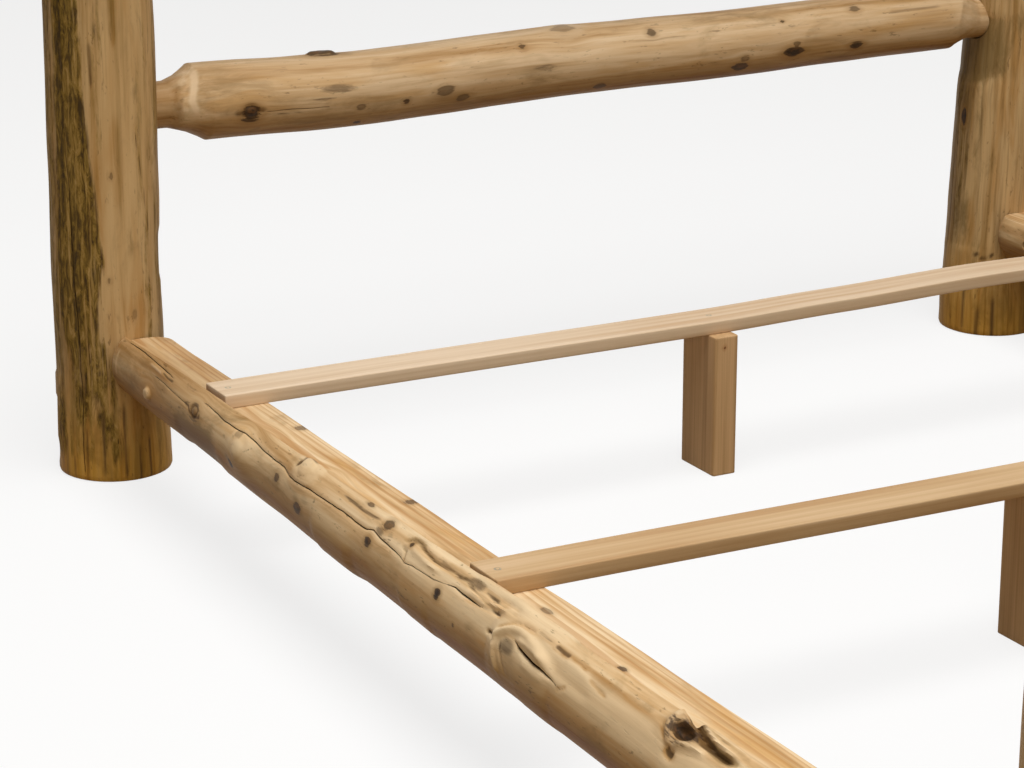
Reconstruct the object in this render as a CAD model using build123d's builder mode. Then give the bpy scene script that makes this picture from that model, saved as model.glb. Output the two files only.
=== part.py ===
from build123d import *

# A queen-size bed built from peeled logs.
#
# Two end frames of round posts and log cross rails, joined by drawknifed round tenons, stand at
# the head and the foot.  Two side rails, each a tapering log with a ledge sawn along its inner
# top side, are bolted between them.  Three board slats lie on the ledges, each with its own
# centre leg.
#
# Frame: origin on the floor under the middle of the bed, +X across the bed, +Y towards the
# headboard, +Z up.  All sizes are in millimetres.
import os
from math import radians, sqrt, tan

os.makedirs("parts", exist_ok=True)

# ---- what the bed has to hold -------------------------------------------------------------
mattress_width = 1524
mattress_length = 2032
side_room = 36  # from the mattress to the sawn wall of a side rail
end_room = 26  # from the mattress to the face of a post

# ---- corner posts -------------------------------------------------------------------------
post_r = 78  # the straight stretch of the log, where the rails meet it
post_foot_r = 84  # the butt swells out at the floor
post_foot_top = 40  # height of the widest part of the butt
post_flare_top = 135  # height where the swelling ends
post_foot_ease = 5  # rounding of the sawn end that stands on the floor
post_crown_h = 36  # height of the rounded top
head_post_height = 1270
foot_post_height = 760
head_left_crown_r = 74  # each log thins towards its top by its own amount
head_right_crown_r = 66
foot_left_crown_r = 75
foot_right_crown_r = 73
post_taper_start = 300  # above this height the log thins

# ---- cross rails of the two end frames ----------------------------------------------------
head_rail_heights = (525, 825, 1125)
head_rail_left_r = (57, 52, 58)
head_rail_right_r = (51, 55, 53)
foot_rail_heights = (380, 640)
foot_rail_left_r = (52, 57)
foot_rail_right_r = (56, 52)
tenon_r = 33.5
tenon_gap = 0.2  # glue line round a tenon
tenon_floor = 18  # from the post's axis to the bottom of a mortise
tenon_end_gap = 0.4
tenon_chamfer = 3
neck_length = 16  # bare tenon that shows between the post and the shoulder
shoulder_length = 58  # drawknifed cone from the tenon up to the full log
shoulder_sag_along = 0.62  # where the hollow of that cone is measured, as a share of its length
shoulder_sag_rise = 0.34  # how much of the rise is done by then

# ---- side rails ---------------------------------------------------------------------------
wall_inset = 14  # the ledge's sawn wall stands this far outside the posts' axes
ledge_height = 210  # floor to ledge
ledge_reach = 53  # from the posts' axes in to the ledge's inner edge
ledge_rise_head = 29.6  # from the log's middle up to the ledge at the head end
ledge_rise_foot = 41.8  # the log is thicker at this end, so its middle lies lower
log_inset_head = 12.8  # the log's middle lies this far inside the posts' axes at the head end
log_inset_foot = 2.4  # and this far at the foot end
side_rail_end_round = 22
seat_gap = 0.3  # between the end of a side rail and the post
stub_r = 25  # stub tenon that locates the side rail in the post
stub_length = 34

# ---- bed bolts ----------------------------------------------------------------------------
bolt_r = 4.76
bolt_length = 254
bolt_hole_r = 5.2
bolt_head_flats = 14.3
bolt_head_h = 6.4
counterbore_r = 16
counterbore_depth = 18
washer_r = 14
washer_t = 2.4
barrel_nut_r = 8
barrel_nut_length = 34
barrel_nut_gap = 0.2
bolt_past_nut = 15  # end of a bolt that comes out of its nut
bolt_head_bevel = 0.8
bolt_tip_bevel = 1.2
drill_room = 1  # a blind hole is drilled this much deeper than its screw or bolt

# ---- slats and centre legs ----------------------------------------------------------------
slat_width = 66
slat_thickness = 19
slat_end_room = 6  # between a slat's end and the ledge's wall
slat_edge_ease = 1.5
slat_names = ("head", "middle", "foot")
first_slat = 407  # from the head posts' axes to the first slat
last_slat = 309  # from the foot posts' axes to the last slat
leg_width = 38
leg_depth = 89
leg_edge_ease = 3
leg_aside = -28  # the legs stand a little to the left of the middle
leg_forward = 6  # and a little to the foot side of their slat

# ---- wood screws --------------------------------------------------------------------------
screw_head_r = 4.4
screw_head_angle = 82
screw_shank_r = 2.2
screw_length = 57
screw_tip_h = 5
screw_gap = 0.15
slat_screw_inset = 18  # from the slat's end
tenon_screw_inset = 40  # from the post's axis towards the rail
tenon_screw_depth = 14  # how far the head is sunk below the post's widest face

# ---- places worked out from the sizes above -----------------------------------------------
ledge_wall_x = mattress_width / 2 + side_room
post_x = ledge_wall_x - wall_inset
post_y = mattress_length / 2 + end_room + post_r
rail_end_y = post_y - post_r - seat_gap
slat_half_length = ledge_wall_x - slat_end_room
slat_top = ledge_height + slat_thickness
slat_pitch = (2 * post_y - first_slat - last_slat) / (len(slat_names) - 1)
slat_places = [post_y - first_slat - i * slat_pitch for i in range(len(slat_names))]
slat_screw_x = slat_half_length - slat_screw_inset
screw_head_h = (screw_head_r - screw_shank_r) / tan(radians(screw_head_angle / 2))
pilot_depth = screw_length - slat_thickness + drill_room  # below the underside of a slat
bolt_seat_y = post_y + post_r - counterbore_depth + washer_t  # underside of a bolt's head
barrel_nut_y = bolt_seat_y - bolt_length + bolt_past_nut + barrel_nut_r
side_rail_head_r = sqrt((ledge_reach - log_inset_head) ** 2 + ledge_rise_head**2)
side_rail_foot_r = sqrt((ledge_reach - log_inset_foot) ** 2 + ledge_rise_foot**2)
head_end_middle = (post_x - log_inset_head, ledge_height - ledge_rise_head)  # x and z
foot_end_middle = (post_x - log_inset_foot, ledge_height - ledge_rise_foot)


def post_profile(height, crown_r):
    """Half outline of a post, drawn from the floor up; closed on the post's own axis."""
    side_top = height - post_crown_h
    Polyline((0, 0), (post_foot_r - post_foot_ease, 0))
    RadiusArc(
        (post_foot_r - post_foot_ease, 0), (post_foot_r, post_foot_ease), -post_foot_ease
    )
    Line((post_foot_r, post_foot_ease), (post_foot_r, post_foot_top))
    Spline(
        (post_foot_r, post_foot_top), (post_r, post_flare_top), tangents=((0, 1), (0, 1))
    )
    Line((post_r, post_flare_top), (post_r, post_taper_start))
    Line((post_r, post_taper_start), (crown_r, side_top))
    Bezier((crown_r, side_top), (crown_r, height), (0, height))
    Line((0, height), (0, 0))


def make_post(name, side, end, height, crown_r, rail_heights, side_rail_middle):
    """One corner post. side is +1 on the right, end is +1 at the head."""
    x = side * post_x
    y = end * post_y
    with BuildPart() as post:
        with BuildSketch(Plane(origin=(x, y, 0), x_dir=(1, 0, 0), z_dir=(0, -1, 0))):
            with BuildLine():
                post_profile(height, crown_r)
            make_face()
        revolve(axis=Axis((x, y, 0), (0, 0, 1)))
        # blind mortises that face the other post of the same end frame
        for z in rail_heights:
            floor = (x - side * tenon_floor, y, z)
            with BuildSketch(Plane(origin=floor, z_dir=(-side, 0, 0))):
                Circle(tenon_r + tenon_gap)
            extrude(amount=post_foot_r, mode=Mode.SUBTRACT)
            # screw hole from the +Y side into the tenon
            with Locations(Plane(origin=tenon_screw_seat(side, end, z), z_dir=(0, 1, 0))):
                CounterBoreHole(
                    screw_shank_r + screw_gap, screw_head_r + screw_gap, tenon_screw_depth, post_r
                )
        # socket for the side rail's stub tenon, in line with the side rail's own middle
        rail_x, rail_z = side_rail_middle
        rail_x *= side
        socket_floor = (rail_x, end * (rail_end_y + stub_length + tenon_end_gap), rail_z)
        with BuildSketch(Plane(origin=socket_floor, z_dir=(0, -end, 0))):
            Circle(stub_r + tenon_gap)
        extrude(amount=post_foot_r, mode=Mode.SUBTRACT)
        # bed-bolt hole, counterbored from outside
        outside = (rail_x, end * (post_y + post_r), rail_z)
        with Locations(Plane(origin=outside, z_dir=(0, end, 0))):
            CounterBoreHole(bolt_hole_r, counterbore_r, counterbore_depth, 2 * post_r)
    finish(post, name)


def tenon_screw_seat(side, end, z):
    """Point on the post's widest +Y plane over the middle of a tenon."""
    return (side * (post_x - tenon_screw_inset), end * post_y + post_r, z)


def tenon_screw_head(side, end, z):
    """Top of the screw's head, which sits on the bottom of its counterbore."""
    x, y, z = tenon_screw_seat(side, end, z)
    return (x, y - tenon_screw_depth + screw_head_h, z)


def make_cross_rail(name, end, z, left_r, right_r):
    """One log of an end frame, with a round tenon and a hollow drawknifed shoulder at each end."""
    y = end * post_y
    tip = post_x - tenon_floor - tenon_end_gap
    neck = post_x - post_r - neck_length
    crest = neck - shoulder_length
    hollow = neck - shoulder_length * shoulder_sag_along
    left_rise = tenon_r + (left_r - tenon_r) * shoulder_sag_rise
    right_rise = tenon_r + (right_r - tenon_r) * shoulder_sag_rise
    with BuildPart() as rail:
        with BuildSketch(Plane(origin=(0, y, z), x_dir=(1, 0, 0), z_dir=(0, -1, 0))):
            with BuildLine():
                Polyline(
                    (-tip, 0),
                    (-tip, tenon_r - tenon_chamfer),
                    (-tip + tenon_chamfer, tenon_r),
                    (-neck, tenon_r),
                )
                Spline(
                    (-neck, tenon_r),
                    (-hollow, left_rise),
                    (-crest, left_r),
                    tangents=((1, 0), (1, 0)),
                )
                Line((-crest, left_r), (crest, right_r))
                Spline(
                    (crest, right_r),
                    (hollow, right_rise),
                    (neck, tenon_r),
                    tangents=((1, 0), (1, 0)),
                )
                Polyline(
                    (neck, tenon_r),
                    (tip - tenon_chamfer, tenon_r),
                    (tip, tenon_r - tenon_chamfer),
                    (tip, 0),
                    (-tip, 0),
                )
            make_face()
        revolve(axis=Axis((0, y, z), (1, 0, 0)))
        for side in (-1, 1):
            with Locations(Plane(origin=tenon_screw_seat(side, end, z), z_dir=(0, 1, 0))):
                Hole(screw_shank_r + screw_gap, tenon_screw_depth + screw_length + drill_room)
    finish(rail, name)


def make_side_rail(name, side):
    """A tapering log, rounded at both ends, with the slat ledge sawn along its inner top side."""
    ends = [
        (end, side * x, z, r)
        for end, (x, z), r in (
            (1, head_end_middle, side_rail_head_r),
            (-1, foot_end_middle, side_rail_foot_r),
        )
    ]
    with BuildPart() as rail:
        for end, x, z, r in ends:
            with BuildSketch(Plane(origin=(x, end * rail_end_y, z), z_dir=(0, 1, 0))):
                Circle(r)
        loft()
        rims = rail.edges().filter_by(GeomType.CIRCLE)
        fillet(rims, radius=side_rail_end_round)
        # the ledge: everything above it and inside the sawn wall is cut away
        inner = 2 * side_rail_foot_r
        wall_x = side * ledge_wall_x
        with Locations((wall_x - side * inner / 2, 0, ledge_height + side_rail_foot_r / 2)):
            Box(inner, 2 * rail_end_y, side_rail_foot_r, mode=Mode.SUBTRACT)
        for end, x, z, r in ends:
            with BuildSketch(Plane(origin=(x, end * rail_end_y, z), z_dir=(0, end, 0))):
                Circle(stub_r)
            extrude(amount=stub_length)
            # bolt hole along the rail, from the stub tenon's end to just past the bolt's tip
            stub_end_y = rail_end_y + stub_length
            with Locations(Plane(origin=(x, end * stub_end_y, z), z_dir=(0, end, 0))):
                Hole(bolt_hole_r, stub_end_y - (bolt_seat_y - bolt_length) + drill_room)
            # cross hole for the barrel nut, bored from the inner side
            nut_hole_floor = (x + side * barrel_nut_length / 2, end * barrel_nut_y, z)
            with BuildSketch(Plane(origin=nut_hole_floor, z_dir=(-side, 0, 0))):
                Circle(barrel_nut_r + barrel_nut_gap)
            extrude(amount=2 * side_rail_foot_r, mode=Mode.SUBTRACT)
        for y in slat_places:
            with Locations((side * slat_screw_x, y, ledge_height)):
                Hole(screw_shank_r + screw_gap, pilot_depth)
    finish(rail, name)


def make_slat(name, y):
    """A planed board with eased edges, screwed to both ledges and to its centre leg."""
    with BuildPart() as slat:
        with Locations((0, y, ledge_height + slat_thickness / 2)):
            Box(2 * slat_half_length, slat_width, slat_thickness)
        fillet(slat.edges().filter_by(Axis.X), radius=slat_edge_ease)
        with Locations(*[(x, y, slat_top) for x in (-slat_screw_x, leg_aside, slat_screw_x)]):
            CounterSinkHole(
                screw_shank_r + screw_gap,
                screw_head_r + screw_gap,
                slat_thickness,
                screw_head_angle,
            )
    finish(slat, name)


def make_leg(name, y):
    """A short upright of two-by-four under the middle of a slat."""
    with BuildPart() as leg:
        with Locations((leg_aside, y - leg_forward, ledge_height / 2)):
            Box(leg_width, leg_depth, ledge_height)
        fillet(leg.edges().filter_by(Axis.Z), radius=leg_edge_ease)
        with Locations((leg_aside, y, ledge_height)):
            Hole(screw_shank_r + screw_gap, pilot_depth)
    finish(leg, name)


def make_screw():
    """A countersunk wood screw at the origin, head up and flush with z = 0."""
    with BuildPart() as screw:
        with BuildSketch(Plane.XZ):
            with BuildLine():
                Polyline(
                    (0, 0),
                    (screw_head_r, 0),
                    (screw_shank_r, -screw_head_h),
                    (screw_shank_r, screw_tip_h - screw_length),
                    (0, -screw_length),
                    close=True,
                )
            make_face()
        revolve(axis=Axis.Z)
    return screw.part


def make_bolt():
    """A hex-headed bed bolt: the head's underside is at z = 0 and the shank runs down."""
    with BuildPart() as bolt:
        with BuildSketch():
            RegularPolygon(bolt_head_flats / 2, 6, major_radius=False)
        extrude(amount=bolt_head_h)
        chamfer(bolt.edges().group_by(Axis.Z)[-1], length=bolt_head_bevel)
        with BuildSketch():
            Circle(bolt_r)
        extrude(amount=-bolt_length)
        chamfer(bolt.edges().group_by(Axis.Z)[0], length=bolt_tip_bevel)
    return bolt.part


def make_set(name, piece, places):
    """Several separate copies of one small piece in one node."""
    with BuildPart() as group:
        with Locations(*places):
            add(piece)
    finish(group, name)


def make_washers():
    with BuildPart() as washers:
        for x, end, z in corners():
            seat = (x, end * (bolt_seat_y - washer_t), z)
            with BuildSketch(Plane(origin=seat, z_dir=(0, end, 0))):
                Circle(washer_r)
                Circle(bolt_hole_r, mode=Mode.SUBTRACT)
            extrude(amount=washer_t)
    finish(washers, "bed_bolt_washers")


def make_barrel_nuts():
    """Steel cross dowels in the side rails that the bed bolts screw into."""
    with BuildPart() as nuts:
        for x, end, z in corners():
            middle = (x, end * barrel_nut_y, z)
            with BuildSketch(Plane(origin=middle, z_dir=(1, 0, 0))):
                Circle(barrel_nut_r)
            extrude(amount=barrel_nut_length / 2, both=True)
            with BuildSketch(Plane(origin=middle, z_dir=(0, end, 0))):
                Circle(bolt_r + barrel_nut_gap)
            extrude(amount=barrel_nut_r, both=True, mode=Mode.SUBTRACT)
    finish(nuts, "barrel_nuts")


def corners():
    """Where the bolt of each of the four corners runs: x, end and height."""
    return [
        (side * x, end, z)
        for side in (-1, 1)
        for end, (x, z) in ((1, head_end_middle), (-1, foot_end_middle))
    ]


def finish(builder, name):
    builder.part.label = name
    export_step(builder.part, f"parts/{name}.step")


# ---- end frames ---------------------------------------------------------------------------
posts = (
    ("headboard_post_left", -1, 1, head_left_crown_r),
    ("headboard_post_right", 1, 1, head_right_crown_r),
    ("footboard_post_left", -1, -1, foot_left_crown_r),
    ("footboard_post_right", 1, -1, foot_right_crown_r),
)
for name, side, end, crown_r in posts:
    if end > 0:
        make_post(name, side, end, head_post_height, crown_r, head_rail_heights, head_end_middle)
    else:
        make_post(name, side, end, foot_post_height, crown_r, foot_rail_heights, foot_end_middle)
head_rails = zip(
    ("lower", "middle", "top"), head_rail_heights, head_rail_left_r, head_rail_right_r
)
for level, z, left_r, right_r in head_rails:
    make_cross_rail(f"headboard_rail_{level}", 1, z, left_r, right_r)
foot_rails = zip(("lower", "top"), foot_rail_heights, foot_rail_left_r, foot_rail_right_r)
for level, z, left_r, right_r in foot_rails:
    make_cross_rail(f"footboard_rail_{level}", -1, z, left_r, right_r)

# ---- side rails, slats and legs -----------------------------------------------------------
make_side_rail("side_rail_left", -1)
make_side_rail("side_rail_right", 1)
for place, y in zip(slat_names, slat_places):
    make_slat(f"slat_{place}", y)
    make_leg(f"slat_leg_{place}", y)

# ---- fastenings ---------------------------------------------------------------------------
wood_screw = make_screw()
slat_screw_places = [(side * slat_screw_x, y, slat_top) for side in (-1, 1) for y in slat_places]
make_set("slat_screws", wood_screw, slat_screw_places)
make_set("leg_screws", wood_screw, [(leg_aside, y, slat_top) for y in slat_places])
tenon_screw_places = [
    Plane(origin=tenon_screw_head(side, end, z), z_dir=(0, 1, 0))
    for end, heights in ((1, head_rail_heights), (-1, foot_rail_heights))
    for z in heights
    for side in (-1, 1)
]
make_set("tenon_screws", wood_screw, tenon_screw_places)
bolt_places = [
    Plane(origin=(x, end * bolt_seat_y, z), z_dir=(0, end, 0)) for x, end, z in corners()
]
make_set("bed_bolts", make_bolt(), bolt_places)
make_washers()
make_barrel_nuts()
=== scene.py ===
# %% [markdown]
# # A peeled-log bed
# The construction is already fixed: the frame holds every post, rail, slat and screw at its
# real size.  What is left is the wood itself.  A log is never a plain cylinder, so each log is
# made again as a mesh with its swellings, knots, shoulders and drying checks, and it stands for
# the plain one.  Everything is in metres, with the origin on the floor under the middle of the bed.

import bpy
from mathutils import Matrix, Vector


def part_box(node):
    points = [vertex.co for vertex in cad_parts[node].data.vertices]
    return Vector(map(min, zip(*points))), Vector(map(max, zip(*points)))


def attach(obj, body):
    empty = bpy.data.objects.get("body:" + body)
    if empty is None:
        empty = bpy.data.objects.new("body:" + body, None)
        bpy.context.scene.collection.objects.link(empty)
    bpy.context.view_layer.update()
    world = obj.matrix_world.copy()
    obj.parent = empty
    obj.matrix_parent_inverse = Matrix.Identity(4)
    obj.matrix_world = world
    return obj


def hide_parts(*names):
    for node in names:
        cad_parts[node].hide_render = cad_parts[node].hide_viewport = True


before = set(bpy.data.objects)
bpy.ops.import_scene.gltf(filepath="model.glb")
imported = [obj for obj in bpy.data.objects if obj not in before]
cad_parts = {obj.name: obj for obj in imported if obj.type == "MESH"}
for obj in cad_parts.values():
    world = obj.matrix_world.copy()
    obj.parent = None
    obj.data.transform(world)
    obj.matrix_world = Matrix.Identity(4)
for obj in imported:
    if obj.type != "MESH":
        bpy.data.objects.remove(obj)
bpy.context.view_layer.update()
print("nodes in the frame:", len(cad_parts))

# %% [markdown]
# The rest of the script needs Blender's own modules, numpy for work on many points at once, and
# a few small functions.  `ease` is the soft step that blends one shape into the next, and
# `rough` gives Blender's Perlin noise at many points, which is the same on every run.

# %% Modules and small helpers
import math
import random
from collections import namedtuple

import bmesh
import bpy
import numpy as np
from mathutils import Matrix, Vector, noise

MM = 0.001
FAR = 9.0  # where a search for the nearest thing starts


def ease(value, low, high):
    """0 below low, 1 above high, and a soft S between them."""
    t = np.clip((value - low) / (high - low), 0, 1)
    return t * t * (3 - 2 * t)


def hill(value, width):
    """1 at 0, falling away on both sides over about width."""
    return np.exp(-((value / width) ** 2))


def turning(value, rows):
    """A soft curve through rows of (place, height), level at every row."""
    places, heights = np.array(rows, float).T
    i = np.clip(np.searchsorted(places, value) - 1, 0, len(places) - 2)
    step = ease(value, places[i], places[i + 1])
    return heights[i] + (heights[i + 1] - heights[i]) * step


def rough(points, size, seed):
    """Noise from -1 to 1 with lumps about size metres across: one number, or one per axis."""
    scaled = points / np.asarray(size) + seed * 7.31
    return np.array([noise.noise(p) for p in scaled])


curve = ease(np.linspace(0, 1, 5), 0, 1)
print("the soft step at every quarter:", [round(float(value), 3) for value in curve])

# %% [markdown]
# The camera stands to the left of the foot end, about 1.4 m up, and looks across the bed to the
# headboard.  It could stand close with a wide lens, but then the near rail would bend and swell
# towards us.  From further off a long lens keeps the logs straight and their sizes comparable.

# %% Camera
CAMERA_PLACE = (-2.2423, -2.8268, 1.4275)
CAMERA_TURN = -28.154  # degrees from straight ahead, to the right where negative
CAMERA_DIP = 17.381  # degrees below the horizon
FOCAL_PIXELS = 3023.1
PICTURE_WIDTH = 1024
SENSOR_WIDTH = 36  # mm
SIGHT_LIMIT = 60

lens = bpy.data.cameras.new("camera")
lens.sensor_width = SENSOR_WIDTH
lens.lens = FOCAL_PIXELS / PICTURE_WIDTH * SENSOR_WIDTH
lens.clip_end = SIGHT_LIMIT
camera = bpy.data.objects.new("camera", lens)
camera.location = CAMERA_PLACE
camera.rotation_euler = (math.radians(90 - CAMERA_DIP), 0, math.radians(CAMERA_TURN))
bpy.context.scene.collection.objects.link(camera)
bpy.context.scene.camera = camera
bpy.context.scene.view_settings.view_transform = "Standard"
print("lens in mm:", round(lens.lens, 1))

# %% [markdown]
# Sizes that several pieces share come from the frame, so that nothing has to be fitted: where the
# post axes are, how high the ledge is, where the slats lie.

# %% Sizes read from the frame
post_low, post_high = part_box("headboard_post_right")
POST_X = (post_low[0] + post_high[0]) / 2
POST_Y = (post_low[1] + post_high[1]) / 2
HEAD_HEIGHT = post_high[2]
FOOT_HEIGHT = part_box("footboard_post_right")[1][2]
SLAT_NAMES = ("head", "middle", "foot")
slat_low, slat_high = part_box("slat_head")
LEDGE_Z = slat_low[2]
SLAT_HALF_LENGTH = slat_high[0]
POST_R = 0.078
RAIL_END = POST_Y - POST_R - 0.0003
HEAD_RAILS, FOOT_RAILS = (0.525, 0.825, 1.125), (0.380, 0.640)  # heights of the cross rails
print("post axes at", round(POST_X, 3), round(POST_Y, 3), "ledge at", round(LEDGE_Z, 3))

# %% [markdown]
# A log is drawn in its own frame: how far along the log a point is, and at what angle round it.
# The same few numbers then place a knot on any log, whether it stands or lies.  No log is quite
# straight either, so the axis sways a few millimetres between its two ends.


# %% A log's own frame
class LogFrame:
    """Turns distance along, angle round and radius into places, and places back into those."""

    def __init__(self, start, end, up, bow=()):
        """bow has rows of distance along and how far the axis lies off, up and to the side."""
        self.start = np.array(start, float)
        step = np.array(end, float) - self.start
        self.length = float(np.linalg.norm(step))
        self.axis = step / self.length
        self.up = np.array(up, float)
        self.up -= self.axis * (self.up @ self.axis)
        self.up /= np.linalg.norm(self.up)
        self.side = np.cross(self.axis, self.up)
        self.bow = np.array(list(bow) or [(0, 0, 0), (self.length, 0, 0)], float)

    def swayed(self, along):
        """How far the log's middle has wandered off its straight axis, as two parts."""
        return turning(along, self.bow[:, [0, 1]]), turning(along, self.bow[:, [0, 2]])

    def place(self, along, angle, radius):
        """World points from arrays of distance along, angle in radians and radius."""
        a, b = self.swayed(along)
        a = a + radius * np.cos(angle)
        b = b + radius * np.sin(angle)
        line = self.start + along[..., None] * self.axis
        return line + a[..., None] * self.up + b[..., None] * self.side

    def read(self, points):
        """The other way round: distance along, angle and radius of world points."""
        from_start = points - self.start
        along = from_start @ self.axis
        a, b = self.swayed(along)
        a = from_start @ self.up - a
        b = from_start @ self.side - b
        return along, np.arctan2(b, a), np.hypot(a, b)


standing = LogFrame((0, 0, 0), (0, 0, 1), (0, -1, 0))
quarter = standing.place(np.full(1, 0.5), np.full(1, math.pi / 2), np.full(1, 0.1))
print("half way up a log and a quarter round it:", quarter[0].round(3))

# %% [markdown]
# A knot is where a branch was.  It may be a swelling, a stub that was sawn off, a pit that rotted
# out, or a flat that the drawknife left.  Each kind could be sculpted by hand, but a formula gives
# the same form at any size: a height as a function of `d`, the distance from the knot's middle in
# knot radii, multiplied by the knot's own size.

# %% Knots
Knot = namedtuple("Knot", "kind along angle size stretch tone")  # angle in degrees
KNOT_REACH = 5  # knot radii over which a knot still shapes the wood
KNOT_SHAPES = {
    "bump": lambda d: 0.36 * hill(d, 1.35) - 0.05 * hill(d - 0.8, 0.2),
    "flush": lambda d: 0.1 * hill(d, 1.9) - 0.06 * hill(d - 0.95, 0.2),
    "stub": lambda d: 0.5 * (1 - ease(d, 0.72, 1.12)) + 0.14 * hill(d, 1.8),
    "pit": lambda d: 0.2 * hill(d - 1.1, 0.38) - 0.5 * (1 - ease(d, 0.25, 0.95)),
    "ring": lambda d: 0.16 * hill(d, 1.5) - 0.26 * hill(d - 0.8, 0.22),
    "flat": lambda d: -0.05 * (1 - ease(d, 0.6, 1.1)),
    "hollow": lambda d: 0.1 * hill(d - 1.15, 0.3) - 1.0 * (1 - ease(d, 0.3, 1.05)),
}


def wrapped(angle):
    """An angle in radians brought into -pi to pi."""
    return (angle + math.pi) % (2 * math.pi) - math.pi


def knot_offset(knot, along, angle, radius):
    """How far points lie from a knot's middle, along the log and round it, in metres."""
    return along - knot.along, wrapped(angle - math.radians(knot.angle)) * radius


def knot_distance(knot, along, angle, radius):
    """Distance of points from a knot's middle, in knot radii."""
    down, across = knot_offset(knot, along, angle, radius)
    return np.hypot(down / knot.stretch, across) / knot.size


def knot_relief(knots, along, angle, radius):
    """How high the knots lift the surface, in metres."""
    height = np.zeros_like(along)
    for knot in knots:
        d = knot_distance(knot, along, angle, radius)
        near = d < KNOT_REACH
        height[near] += KNOT_SHAPES[knot.kind](d[near]) * knot.size
    return height


print("kinds of knots:", ", ".join(KNOT_SHAPES))

# %% [markdown]
# A check is a crack that opens along the log as it dries. A coarse mesh then holds a crisp
# crack.

# %% Checks
Check = namedtuple("Check", "rows width depth")  # rows of distance along, angle, opening
LIP = 0.0022  # from the edge of a check to the next column
LEAST_OPENING = 0.3  # the columns keep this far apart where a check has closed
WANDER = 0.7  # degrees that a check strays to either side of its rows


def check_line(check, along):
    """Angle of a check's line at each distance along, in radians."""
    rows = np.array(check.rows)
    wobble = [noise.noise((s * 60, rows[0, 1], 0.5)) for s in np.ravel(along)]
    line = np.interp(along, rows[:, 0], rows[:, 1])
    return np.radians(line + WANDER * np.reshape(wobble, np.shape(along)))


def check_open(check, along):
    """How far a check is open at each distance along, as a share of its width."""
    rows = np.array(check.rows)
    return np.interp(along, rows[:, 0], rows[:, 2], left=0, right=0)


def column_angles(along, radius, count, first, last, checks):
    """Angle of every column at every station, and the column that runs along each check."""
    lines = []
    for check in checks:
        line = check_line(check, along)
        while np.mean(line) < np.mean(first):
            line = line + 2 * math.pi
        while np.mean(line) > np.mean(last):
            line = line - 2 * math.pi
        share = (np.mean(line) - np.mean(first)) / (np.mean(last) - np.mean(first))
        lines.append((int(round(share * (count - 1))), line, check))
    lines.sort(key=lambda entry: entry[0])
    first = np.broadcast_to(first, along.shape)
    last = np.broadcast_to(last, along.shape)
    angles = np.empty((len(along), count))
    for i in range(len(along)):
        places, values = [0], [first[i]]
        for k, line, check in lines:
            opening = max(float(check_open(check, along[i])), LEAST_OPENING)
            half = opening * check.width / 2 / radius[i]
            lip = half + LIP / radius[i]
            places += [k - 2, k - 1, k, k + 1, k + 2]
            values += [line[i] - lip, line[i] - half, line[i], line[i] + half, line[i] + lip]
        places.append(count - 1)
        values.append(last[i])
        angles[i] = np.interp(np.arange(count), places, values)
    return angles, [(k, check) for k, line, check in lines]


demo = Check([(0.2, 30, 0), (0.5, 30, 1), (0.8, 30, 0)], 0.002, 0.005)
print("a check opens and closes:", check_open(demo, np.array((0.2, 0.35, 0.5, 0.8))).round(2))

# %% [markdown]
# Folds where the wood grew over a wound, the lips round a scar and streaks of colour all run along
# lines.  A line has a width, a height over the surface (negative for a groove) and a tint, which
# darkens the wood above 0 and pales it below.


# %% Lines
Line = namedtuple("Line", "path width height tint")  # path of distance along and angle


def line_distance(line, along, angle, radius):
    """Distance from each point to a line's path, in metres, and how far along the path it is."""
    path = np.array(line.path, float)
    across = wrapped(angle - math.radians(float(path[:, 1].mean()))) * radius
    turns = np.radians(path[:, 1] - path[:, 1].mean()) * float(np.mean(radius))
    nearest = np.full(along.shape, FAR)
    share = np.zeros(along.shape)
    for i in range(len(path) - 1):
        x0, y0, x1, y1 = path[i, 0], turns[i], path[i + 1, 0], turns[i + 1]
        run = (x1 - x0) ** 2 + (y1 - y0) ** 2
        t = np.clip(((along - x0) * (x1 - x0) + (across - y0) * (y1 - y0)) / run, 0, 1)
        off = np.hypot(along - x0 - t * (x1 - x0), across - y0 - t * (y1 - y0))
        closer = off < nearest
        nearest[closer] = off[closer]
        share[closer] = (i + t[closer]) / (len(path) - 1)
    return nearest, share


def line_amount(line, along, angle, radius):
    """1 on a line's crest, falling to 0 at its sides and its ends."""
    off, share = line_distance(line, along, angle, radius)
    return hill(off, line.width) * ease(share, -0.08, 0.15) * (1 - ease(share, 0.8, 1.08))


demo = Line([(0, 0), (1, 0)], 0.01, 0, 0)
beside = line_amount(demo, np.full(3, 0.5), np.array((0, 0.1, 0.2)), np.full(3, 0.1))
print("a line on its path, 10 mm and 20 mm beside it:", beside.round(2))

# %% [markdown]
# The surface of a log is its profile plus uneven peeling: slow growth waves, smaller swellings and
# the long shallow strokes of the drawknife. Displacing the mesh itself, and not only its shading,
# gives a true outline.

# %% Relief of a log's surface
WAVES = (  # size across the log, size along it, height in mm
    (0.06, 0.26, 1.9),
    (0.03, 0.085, 0.8),
    (0.011, 0.1, 0.3),
)
LIP_SINK = 0.15  # how far a check's lips go down with its bottom


def log_relief(along, angle, radius, knots, seed, lines=()):
    """Height of the surface over the log's plain profile, in metres."""
    local = np.stack([radius * np.cos(angle), radius * np.sin(angle), along], axis=-1)
    flat = local.reshape(-1, 3)
    height = 0
    for i, (across, lengthwise, tall) in enumerate(WAVES):
        height = height + tall * rough(flat, (across, across, lengthwise), seed + i)
    height = (height * MM).reshape(along.shape) + knot_relief(knots, along, angle, radius)
    for line in lines:
        height += line.height * line_amount(line, along, angle, radius)
    return height


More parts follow.
